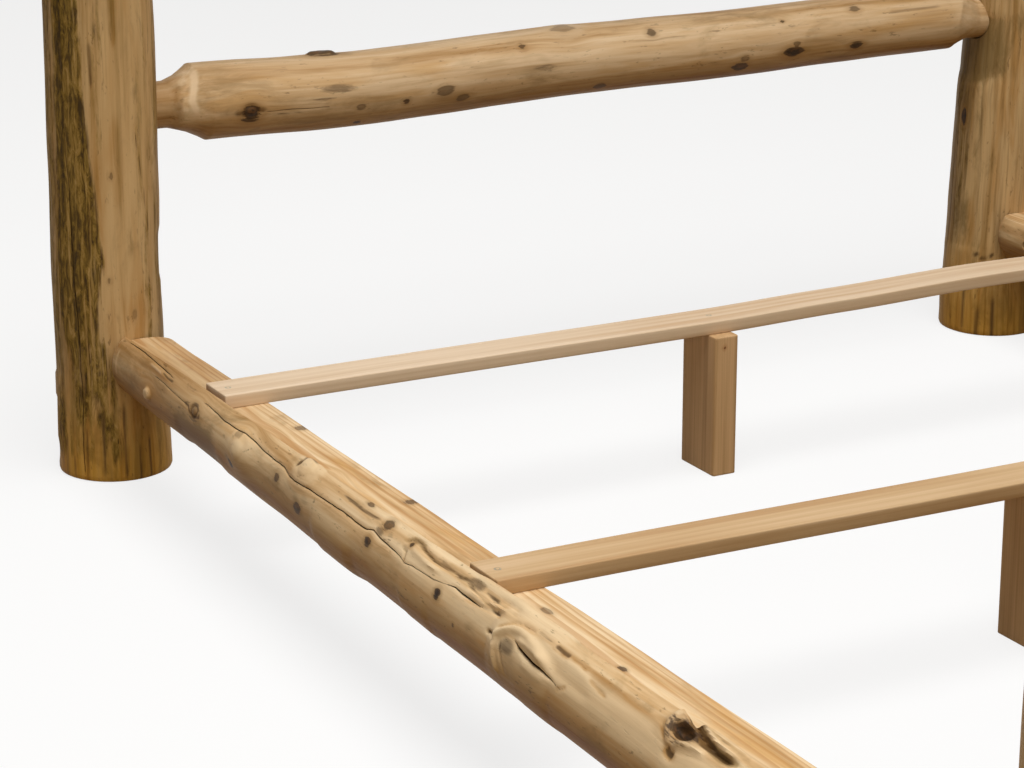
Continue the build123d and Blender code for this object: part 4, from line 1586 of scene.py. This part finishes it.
def cross_rail(name, end, z, left_r, right_r, knots, checks, seed, marks, bow=(), right=END_CUTS):
    """Angles are 0 at the top and grow towards the foot of the bed."""
    y = end * POST_Y
    tips = [(-TIP_X, y, z), (TIP_X, y, z)]
    log = LogFrame(*tips, (0, 0, 1), bow)
    along = cross_rail_stations(log.length)
    about = np.full(len(along), ABOUT_R)
    angles, cracks = column_angles(along, about, CROSS_COLUMNS, -math.pi, math.pi, checks)
    angles = angles[:, :-1]
    share = np.clip((along - CREST_FROM) / (log.length - 2 * CREST_FROM), 0, 1)
    profile = left_r + (right_r - left_r) * share
    natural = np.ones(len(along))
    around, radius = grown(along, profile, natural, angles, cracks, knots, seed, marks.lines)
    radius = np.minimum(radius, end_cut(around + TENON_TIP, angles, END_CUTS))
    radius = np.minimum(radius, end_cut(log.length - around + TENON_TIP, angles, right))
    from_end = np.minimum(around, log.length - around)
    radius = radius - np.clip(0.003 - from_end, 0, None)
    screws = [(side * SCREW_X, y + POST_R, z) for side in (-1, 1)]
    holes = [bar(screw, (0, -1, 0), PILOT_R, 0.072, 16) for screw in screws]
    mesh = carve(skin(name, log.place(around, angles, radius), *tips), [("DIFFERENCE", holes)])

    def worked(along, angle, radius):
        """1 on the sawn tips and in the holes."""
        from_end = np.minimum(along, log.length - along)
        return (from_end < 0.002) | (radius < 0.03)

    def painted_shade_and_tone(along, angle, radius):
        """The bare necks are darker, the left one most, the underside gets painted shade, and the
        whole rail is a little darker.
        """
        neck = (0.65 - 0.55 * ease(along, 0.4, 0.6)) * (1 - ease(radius, 0.036, 0.048))
        # painted shade on the underside, deeper towards the middle of the rail
        under = 0.75 + 0.25 * ease(along, 0.35, 0.6) * (1 - ease(along, 0.9, 1.2))
        under = under * ease(np.degrees(np.abs(angle)), 92, 142)
        return np.maximum(np.maximum(neck, under), 0.12)

    paint_log(mesh, log, knots, checks, seed, worked, painted_shade_and_tone, marks)
    show(mesh, name, CROSS_RAIL_WOOD, name)


print("a cross rail is", round(2 * TIP_X, 4), "m from tip to tip")

# %% [markdown]
# The lowest rail at the head has its marks listed one by one: a row of knots near the middle of its
# front, a sawn stub on its top, a dark knot beside the left post, and grey flats where the knife
# had cut.  Places on it are given from the middle of the bed, which is easier to picture than a
# distance from the tip.


# %% The lowest rail at the head
def at(x):
    """Distance along a cross rail of a place x metres from the middle of the bed."""
    return x + TIP_X


LOWER_KNOTS = [
    Knot("ring", at(-0.579), 102, 0.0115, 1.2, 1.0),
    Knot("stub", at(-0.446), 2, 0.0085, 2.7, 0.9),
    Knot("flush", at(-0.404), 144, 0.005, 1.5, 0.9),
    Knot("flush", at(-0.405), 108, 0.004, 1.8, 0.5),
    Knot("flush", at(-0.332), 108, 0.0035, 1.5, 0.9),
    Knot("flush", at(-0.269), 100, 0.0065, 1.7, 0.6),
    Knot("flush", at(-0.238), 118, 0.0055, 1.6, 0.55),
    Knot("flush", at(-0.134), 46, 0.0045, 1.3, 0.8),
    Knot("bump", at(-0.054), 19, 0.014, 1.3, 0.4),
    Knot("bump", at(0.090), 44, 0.006, 1.2, 0.7),
    Knot("flush", at(0.252), 108, 0.0055, 1.6, 0.5),
    Knot("flush", at(0.247), 124, 0.0065, 1.6, 0.9),
    Knot("flush", at(0.342), 107, 0.0075, 1.7, 1.0),
    Knot("flush", at(0.346), 93, 0.004, 1.4, 0.6),
    Knot("flush", at(0.460), 113, 0.006, 1.7, 0.95),
    Knot("flush", at(0.464), 43, 0.006, 1.6, 0.6),
    Knot("flush", at(0.000), 134, 0.0055, 1.5, 0.7),
    Knot("flush", at(0.326), 50, 0.0025, 1.4, 0.8),
]
LOWER_GREY = [
    Patch(at(-0.443), 76, 0.075, 0.018, 1.0),
    Patch(at(-0.465), 90, 0.05, 0.008, 0.6),
    Patch(at(-0.269), 98, 0.05, 0.018, 0.5),
    Patch(at(-0.103), 87, 0.05, 0.014, 0.7),
]
LOWER_LINES = [
    Line([(at(-0.606), 103), (at(-0.593), 103), (at(-0.579), 102), (at(-0.566), 99),
          (at(-0.553), 98)], 0.0045, 0, 0.75),
    Line([(at(-0.577), 141), (at(-0.569), 137), (at(-0.558), 131)], 0.005, 0, 0.5),
    Line([(at(-0.542), 42), (at(-0.525), 38), (at(-0.509), 38)], 0.003, 0, 0.45),
    Line([(at(-0.541), 107), (at(-0.519), 110), (at(-0.497), 109)], 0.0018, -0.0006, 0.6),
    Line([(at(0.518), 59), (at(0.555), 57), (at(0.594), 57), (at(0.635), 57)], 0.0035, 0, 0.6),
    Line([(at(0.553), 107), (at(0.591), 104), (at(0.636), 105)], 0.006, 0, 0.35),
    Line([(at(-0.236), 96), (at(-0.213), 95), (at(-0.193), 94)], 0.0025, 0, 0.35),
    Line([(at(0.048), 60), (at(0.101), 58), (at(0.154), 58)], 0.003, 0, 0.3),
    Line([(at(0.171), 65), (at(0.225), 64), (at(0.280), 64)], 0.004, 0, -0.35),
    Line([(at(-0.652), 16), (at(-0.657), 46), (at(-0.666), 76), (at(-0.658), 103)], 0.006, 0, -1.0),
]
LOWER_TINTS = [Patch(at(0.68), 78, 0.09, 0.07, -0.5)]
LOWER_CHECK = Check([(at(-0.565), 103, 0), (at(-0.52), 102, 1), (at(-0.455), 102, 0.3)], 0.001, 0.002)
LOWER_BOW = [
    (0, 0, 0), (at(-0.66), 0, 0), (at(-0.40), -0.0066, 0), (at(-0.06), 0.002, 0),
    (at(0.2), 0.0015, 0), (at(0.58), 0.0065, 0), (at(0.66), 0.007, 0), (at(0.73), 0.002, 0),
    (at(0.766), 0, 0),
]
cross_rail(
    "headboard_rail_lower", 1, HEAD_RAILS[0], 0.0555, 0.0502, LOWER_KNOTS, [LOWER_CHECK], 31,
    Marks(lines=LOWER_LINES, tints=LOWER_TINTS, grey=LOWER_GREY), LOWER_BOW, SHORT_CUTS,
)

# %% [markdown]
# The other four cross rails take scattered knots, and each tapers its own way.

# %% The other cross rails
for name, end, z, left_r, right_r, seed in (
    ("headboard_rail_middle", 1, HEAD_RAILS[1], 0.052, 0.055, 33),
    ("headboard_rail_top", 1, HEAD_RAILS[2], 0.058, 0.053, 34),
    ("footboard_rail_lower", -1, FOOT_RAILS[0], 0.052, 0.056, 35),
    ("footboard_rail_top", -1, FOOT_RAILS[1], 0.057, 0.052, 36),
):
    knots = scattered(seed, 1.4, 10, 0.16)
    cross_rail(name, end, z, left_r, right_r, knots, [], seed + 3, Marks())


# %% [markdown]
# ## Slats and legs
# Real boards have eased edges and are not quite straight.  So a board is an outline with small
# round corners, carried along its own line.


# %% Build a board
def rounded_outline(width, height, ease_r, per_corner=4):
    """Points round a rectangle with eased corners, centred, counter-clockwise."""
    points = []
    for sx, sy, start in ((1, 1, 0), (-1, 1, 90), (-1, -1, 180), (1, -1, 270)):
        middle = (sx * (width / 2 - ease_r), sy * (height / 2 - ease_r))
        for turn in np.linspace(start, start + 90, per_corner):
            t = math.radians(turn)
            points.append((middle[0] + ease_r * math.cos(t), middle[1] + ease_r * math.sin(t)))
    return points


def filled_outline(width, height, ease_r, step):
    """The same outline with extra points on its straight sides, step metres apart."""
    corners = rounded_outline(width, height, ease_r)
    points = []
    for first, second in zip(corners, corners[1:] + corners[:1]):
        x, y = first
        parts = max(1, round(math.dist(first, second) / step))
        for k in range(parts):
            t = k / parts
            points.append((x + (second[0] - x) * t, y + (second[1] - y) * t))
    return np.array(points)


def board(name, start, end, up, width, thickness, ease_r, holes, bow=()):
    """A board from start to end; width lies across, thickness along up."""
    log = LogFrame(start, end, up, bow)
    outline = filled_outline(width, thickness, ease_r, 0.006)
    ends = np.array([0, 0.0003, 0.0008, 0.0015])
    inset = np.array([0.0015, 0.0007, 0.0002, 0.0])
    middle = np.linspace(0.004, log.length - 0.004, int(log.length / 0.012))
    along = np.concatenate([ends, middle, log.length - ends[::-1]])
    inset = np.concatenate([inset, np.zeros(len(middle)), inset[::-1]])
    rows = []
    for s, back in zip(along, inset):
        shape = outline * (1 - 2 * back / np.array([width, thickness]))
        # across is measured along log.side, up along log.up
        line = log.start + s * log.axis + log.swayed(s)[0] * log.up
        rows.append(line + shape[:, :1] * log.side + shape[:, 1:] * log.up)
    points = np.array(rows)[:, ::-1]
    mesh = skin(name, points, np.array(start, float), np.array(end, float))
    return carve(mesh, [("DIFFERENCE", holes)]), log


print("points round a slat:", len(filled_outline(0.066, 0.019, 0.0018, 0.006)))

# %% [markdown]
# A planed board shows its growth rings as long stripes, because its faces cut the rings at a
# slant.  The finish follows the board's place in the tree: the pith lies outside the board, and
# each board has its own.  Slats and legs are one recipe in a paler, a yellower and a darker wood.


# %% Board material
def board_material(name, pale, honey, brown, ring_scale, contrast):
    n = Nodes(name)
    grain = n.read("grain", "Vector")
    sway = n.noise(grain, (9, 9, 1.1), 2.0)
    streak = n.noise(grain, (70, 70, 1.2), 4.0, 0.6, 0.2)
    fibre = n.noise(grain, (420, 420, 10), 3.0, 0.65)
    drift = n.noise(grain, (6, 6, 2.0), 2.0)
    across = n.node("SeparateXYZ", inputs={0: grain})
    from_pith = n.hypot(n.plus(across, n.times(sway, 0.03)), across.node.outputs[1])
    ring = n.math("FRACT", n.times(from_pith, ring_scale))
    late = n.times(n.step(ring, 0.35, 0.95), n.step(ring, 1.0, 0.95))
    tone = n.plus(n.times(streak, 0.6), n.times(drift, 0.4))
    wood = n.steps(tone, (0.36, brown), (0.5, honey), (0.62, pale))
    wood = n.mixed(n.times(late, 0.35 * contrast), wood, brown)
    wood = n.mixed(n.times(n.step(fibre, 0.52, 0.7), 0.16), wood, brown)
    d = n.plus(n.read("knot"), n.centred(drift, 0.6))
    wood = n.mixed(n.times(n.step(d, 2.4, 0.9), 0.5), wood, linear(176, 122, 74))
    wood = n.mixed(n.step(d, 1.0, 0.85), wood, linear(120, 76, 44))
    wood = n.mixed(n.times(n.read("cut"), 0.35), wood, brown)
    saw = n.noise(grain, (30, 30, 700), 1.0, 0.5)
    bump = n.plus(n.times(fibre, 0.5), n.times(saw, 0.2))
    roughness = n.plus(n.times(fibre, 0.15), 0.5)
    return n.finish(wood, roughness, bump, 0.35, 0.0005, Specular_IOR_Level=0.25)


PALE_BOARD = board_material(
    "pale_board", linear(226, 204, 177), linear(217, 193, 163), linear(202, 170, 134), 190.0, 0.35
)
YELLOW_BOARD = board_material(
    "yellow_board", linear(212, 182, 144), linear(200, 168, 126), linear(180, 142, 98), 190.0, 0.3
)
LEG_WOOD = board_material(
    "leg_wood", linear(222, 184, 140), linear(204, 168, 124), linear(168, 130, 86), 230.0, 0.45
)
print("board materials:", [m.name for m in (PALE_BOARD, YELLOW_BOARD, LEG_WOOD)])

# %% [markdown]
# A board's attributes are fewer than a log's: its place in the tree, its few knots, and its two
# sawn ends, which are darker.


# %% Paint a board's attributes
END_FACE = 0.0004


def paint_board(mesh, log, pith, knots=()):
    """pith is how far the tree's middle lies from the board's own middle, across and up."""
    local = mesh_points(mesh) - log.start
    across, up, along = local @ log.side, local @ log.up, local @ log.axis
    grain = np.stack([across - pith[0], up - pith[1], along], axis=-1)
    nearest = np.full(len(along), FAR)
    for knot_along, knot_across, size in knots:
        off = np.hypot((along - knot_along) / 1.3, across - knot_across) / size
        nearest = np.minimum(nearest, off)
    end_face = (along < END_FACE) | (along > log.length - END_FACE)
    paint(mesh, "grain", "FLOAT_VECTOR", grain)
    paint(mesh, "knot", "FLOAT", nearest)
    paint(mesh, "cut", "FLOAT", end_face)


# %% [markdown]
# The slats lie on the ledges of the side rails, each with a screw near either end and one over its
# leg.  A leg is a short two-by-four that stands on the floor, and its screw has drawn the slat
# down to it by a few millimetres, so every slat dips there and warps its own way beside it.

# %% Sizes and characters of the slats
LEG_X, LEG_FORWARD = -0.028, 0.006
SLAT_T = slat_high[2] - slat_low[2]
TOP_Z = LEDGE_Z + SLAT_T
SLAT_WIDTH, SLAT_EASE = 0.066, 0.0018
LEG_THICKNESS, LEG_WIDTH, LEG_EASE = 0.089, 0.038, 0.003
SINK = 0.00253
# how far each slat is drawn down to its leg, and its height at a few other places
LEG_DIP = {"head": 0.002, "middle": 0.004, "foot": 0.002}
WARP = {
    "head": [(0.18, 0.001), (0.45, 0.0055)],
    "middle": [(0.45, 0.001)],
    "foot": [(0.3, 0.002)],
}
BOARD_KNOTS = {
    "head": [],
    "middle": [(1.25, 0.01, 0.012), (0.9, -0.03, 0.006)],
    "foot": [(0.4, 0.0, 0.009)],
}
PITH = {"head": (-0.05, -0.09), "middle": (0.08, -0.05), "foot": (0.03, -0.12)}
SLAT_FINISH = {"head": PALE_BOARD, "middle": YELLOW_BOARD, "foot": PALE_BOARD}
LEG_KNOTS = {"head": [(0.193, 0.004, 0.003)], "middle": [], "foot": []}
print("the top of the slats is at", round(TOP_Z, 4))

# %% [markdown]
# The holes are bored with the same values that place the screws, so that every head sits in its
# countersink, also where the slat dips.

# %% The slats and their legs
for place, y in zip(SLAT_NAMES, SLAT_YS):
    dip = LEG_DIP[place]
    bow = [(0, 0, 0), (0.05, 0, 0), (SLAT_HALF_LENGTH + LEG_X, -dip, 0)]
    bow += [(SLAT_HALF_LENGTH + x, up, 0) for x, up in WARP[place]]
    bow += [(2 * SLAT_HALF_LENGTH - 0.05, 0, 0), (2 * SLAT_HALF_LENGTH, 0, 0)]
    holes = []
    for x, drop in ((-SLAT_SCREW_X, 0), (LEG_X, dip), (SLAT_SCREW_X, 0)):
        top = TOP_Z - drop
        holes.append(bar((x, y, top + CLEAR), (0, 0, -1), PILOT_R, 0.05, 24))
        holes.append(cone((x, y, top), (0, 0, -1), HEAD_HOLE_R, SINK, PILOT_R))
    middle_z = (LEDGE_Z + TOP_Z) / 2
    ends = [(side * SLAT_HALF_LENGTH, y, middle_z) for side in (-1, 1)]
    name = "slat_" + place
    mesh, log = board(name, *ends, (0, 0, 1), SLAT_WIDTH, SLAT_T, SLAT_EASE, holes, bow)
    paint_board(mesh, log, PITH[place], BOARD_KNOTS[place])
    show(mesh, name, SLAT_FINISH[place], name)
    holes = [bar((LEG_X, y, LEDGE_Z + CLEAR), (0, 0, -1), PILOT_R, 0.049, 24)]
    foot_top = [(LEG_X, y - LEG_FORWARD, z) for z in (0.0, LEDGE_Z - dip)]
    name = "slat_leg_" + place
    mesh, log = board(name, *foot_top, (0, 1, 0), LEG_WIDTH, LEG_THICKNESS, LEG_EASE, holes)
    paint_board(mesh, log, (0.06, -0.03), LEG_KNOTS[place])
    show(mesh, name, LEG_WOOD, name)


# %% [markdown]
# ## Fastenings
# Screws and bolts are zinc-plated steel, a little dull from handling, so soft spots vary both its
# tone and its roughness.  The wood screws are yellower than the bolts.


# %% Steel material
def steel_material(name, colour, dull):
    n = Nodes(name)
    place = n.node("TexCoord", out="Object")
    brushed = n.noise(place, (900, 900, 120), 3.0, 0.6)
    spots = n.noise(place, (160, 160, 160), 3.0, 0.6)
    tone = n.mixed(n.times(spots, 0.5), linear(*colour), linear(*dull))
    roughness = n.plus(n.times(spots, 0.25), 0.25)
    return n.finish(tone, roughness, brushed, 0.15, 0.0002, Metallic=1.0)


ZINC = steel_material("zinc_steel", (196, 198, 200), (150, 150, 150))
SCREW_STEEL = steel_material("screw_steel", (190, 184, 160), (140, 130, 104))
print("steels:", ZINC.name, SCREW_STEEL.name)

# %% [markdown]
# A wood screw is a stack of rings: a nearly flat head with a cross recess, the countersunk
# underside, and a core on which one crest of each ring stands out as the thread.  Turning that
# crest a little from ring to ring makes the helix, with no separate piece to join.

# %% Wood screws
SCREW_HEAD_R, SHANK_R = 0.0044, 0.0022
SCREW_LENGTH = 0.057
SCREW_SIDES = 32
RECESS_HALF_WIDTH, RECESS_REACH, RECESS_DEPTH = 0.00055, 0.0025, 0.0016
PITCH, THREAD_HEIGHT = 0.0024, 0.0004
THREAD_FROM, CORE_FROM = 0.014, 0.012
HEAD_RINGS = (0.0003, 0.0007, 0.0011, 0.0015, 0.0019, 0.0023, 0.0027, 0.0033, 0.0039, 0.0043)


def cross_recess(u, v):
    """True for points of the head that lie in the cross."""
    u, v = np.abs(u), np.abs(v)
    narrow, wide = np.minimum(u, v), np.maximum(u, v)
    return (narrow < RECESS_HALF_WIDTH) & (wide < RECESS_REACH)


def screw_rings(turn):
    """Radius and height of every ring's points, from the head's middle to the tip."""
    level = np.ones(len(turn))
    rings = []
    for r in HEAD_RINGS:
        recessed = cross_recess(r * np.cos(turn), r * np.sin(turn))
        height = np.where(recessed, r * 0.2 - RECESS_DEPTH, -0.0001 - 4 * r * r)
        rings.append((r * level, height))
    rings.append((SCREW_HEAD_R * level, -0.0003 * level))
    rings.append((SHANK_R * level, -SINK * level))
    for z in np.linspace(0.0032, SCREW_LENGTH - 0.006, 100):
        crest = (0.5 + 0.5 * np.cos(turn - z / PITCH * 2 * math.pi)) ** 3
        thread = THREAD_HEIGHT * crest if z > THREAD_FROM else 0
        core = 0.0017 if z > CORE_FROM else 0.0021
        rings.append((core * level + thread, -z * level))
    rings.append((0.0004 * level, (0.0004 - SCREW_LENGTH) * level))
    return rings


def screw_mesh(name, places):
    """Screws with their heads at the given places, each a point and a direction for the head."""
    whole = bmesh.new()
    turn = np.linspace(0, 2 * math.pi, SCREW_SIDES, endpoint=False)
    rings = screw_rings(turn)
    for place, direction in places:
        spin = Vector(direction).to_track_quat("Z", "Y").to_matrix().to_4x4()
        move = Matrix.Translation(place) @ spin
        loops = []
        for r, z in rings:
            points = zip(r * np.cos(turn), r * np.sin(turn), z)
            loops.append([whole.verts.new(move @ Vector(point)) for point in points])
        for upper, lower in zip(loops, loops[1:]):
            for j in range(SCREW_SIDES):
                k = (j + 1) % SCREW_SIDES
                whole.faces.new((upper[j], lower[j], lower[k], upper[k]))
        whole.faces.new(loops[0])
        whole.faces.new(reversed(loops[-1]))
    mesh = bpy.data.meshes.new(name)
    whole.to_mesh(mesh)
    whole.free()
    return mesh


print("turns of thread on a screw:", round((SCREW_LENGTH - THREAD_FROM) / PITCH, 1))

# %% [markdown]
# The slats' screws come from above, and the screws that hold the tenons come from the outside of
# the head and from the inside of the foot, all in the same direction.  All the screws of one kind
# make one mesh, as the frame has one node for them.

# %% Place the screws
UP = (0, 0, 1)
HEADWARDS = (0, 1, 0)
screw_places = {
    "slat_screws": [((side * SLAT_SCREW_X, y, TOP_Z), UP) for side in (-1, 1) for y in SLAT_YS],
    "leg_screws": [
        ((LEG_X, y, TOP_Z - LEG_DIP[place]), UP) for place, y in zip(SLAT_NAMES, SLAT_YS)
    ],
    "tenon_screws": [
        ((side * SCREW_X, end * POST_Y + POST_R - SCREW_SEAT + SINK, z), HEADWARDS)
        for end, heights in ((1, HEAD_RAILS), (-1, FOOT_RAILS))
        for z in heights
        for side in (-1, 1)
    ],
}
for name, places in screw_places.items():
    show(screw_mesh(name, places), name, SCREW_STEEL, name)


# %% [markdown]
# The bed bolts, washers and barrel nuts are almost hidden in the posts and rails, and the frame
# already gives them their true form.  So they stay as they are and only get a finish.

# %% Finish the bolts, washers and nuts
for name in ("bed_bolts", "bed_bolt_washers", "barrel_nuts"):
    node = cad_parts[name]
    node.data.materials.clear()
    node.data.materials.append(ZINC)
    print(name, "keeps its", len(node.data.polygons), "faces")


# %% [markdown]
# ## Floor, backdrop and light
# A bed for a catalogue stands on a white floor that runs into a white surround.  More light would
# bleach the wood with it.  So the floor is made to look white to the camera only, with part of its
# shadow kept, and on the bed it throws the dim warm light of a real floor.

# %% Floor and backdrop
FLOOR_BOUNCE = (0.24, 0.155, 0.055, 1)
FLOOR_GLOW = 0.8  # the share of plain white in the floor that the camera sees
FLOOR_HALF = 30.0
WHITE = (1, 1, 1, 1)


def seen_directly(n):
    """1 for rays that come from the camera, from a mirror or through glass, else 0."""
    rays = n.tree.nodes.new("ShaderNodeLightPath").outputs
    seen = n.math("MAXIMUM", rays["Is Camera Ray"], rays["Is Glossy Ray"])
    return n.math("MAXIMUM", seen, rays["Is Transmission Ray"])


def floor_material():
    """Near white to look at, with its shadow, and a dim warm bounce on the bed from below."""
    n = Nodes("pale_floor")
    mottled = n.noise(n.node("TexCoord", out="Object"), (0.6, 0.6, 0.6), 2.0)
    bright = n.mixed(mottled, linear(240, 240, 239), linear(244, 244, 243))
    cloth = n.node("BsdfDiffuse", inputs={"Color": bright})
    white = n.node("Emission", inputs={"Color": WHITE, "Strength": 1.0})
    looked_at = n.node("MixShader", inputs={0: FLOOR_GLOW, 1: cloth, 2: white})
    bounce = n.node("BsdfDiffuse", inputs={"Color": FLOOR_BOUNCE})
    blend = n.node("MixShader", inputs={0: seen_directly(n), 1: bounce, 2: looked_at})
    n.output("Material", blend)
    return n.material


sides = (-FLOOR_HALF, FLOOR_HALF)
floor_mesh = bpy.data.meshes.new("floor")
floor_mesh.from_pydata([(x, y, 0) for x in sides for y in sides], [], [(0, 2, 3, 1)])
floor_mesh.materials.append(floor_material())
floor = bpy.data.objects.new("floor", floor_mesh)
bpy.context.scene.collection.objects.link(floor)
print("floor:", 2 * FLOOR_HALF, "m across")

# %% [markdown]
# The world is what the light finds where there is no lamp.  The camera sees it as plain white, and
# the bed gets only a weak warm glow from it, which keeps the shadows from going black.

# %% World
AMBIENT = (0.095, 0.070, 0.038, 1)
world = bpy.data.worlds.new("studio")
bpy.context.scene.world = world
world.use_nodes = True
world.node_tree.nodes.clear()
studio = Nodes.on(world)
ambient = studio.node("Background", inputs={"Color": AMBIENT, "Strength": 1.0})
white = studio.node("Background", inputs={"Color": WHITE, "Strength": 1.0})
blend = studio.node("MixShader", inputs={0: seen_directly(studio), 1: ambient, 2: white})
studio.output("World", blend)
print("ambient light:", AMBIENT[:3])

# %% [markdown]
# Two round softboxes stand in for a window and a room: a large one overhead, which gives the soft
# shadows under the logs, and a weaker warm one in front, which opens the sides that face us.


# %% Lamps
def softbox(name, place, aim, size, power, colour=(1, 1, 1)):
    lamp = bpy.data.lights.new(name, "AREA")
    lamp.shape = "DISK"
    lamp.size = size
    lamp.energy = power
    lamp.color = colour
    box = bpy.data.objects.new(name, lamp)
    box.location = place
    box.rotation_euler = (Vector(aim) - Vector(place)).to_track_quat("-Z", "Y").to_euler()
    bpy.context.scene.collection.objects.link(box)
    print(name, power, "W")


softbox("overhead", (-0.5, -0.5, 5.2), (0, 0.1, 0.2), 4.2, 275)
softbox("front_fill", (-2.4, -5.0, 2.2), (0, 0.3, 0.3), 3.0, 85, (1, 0.95, 0.86))
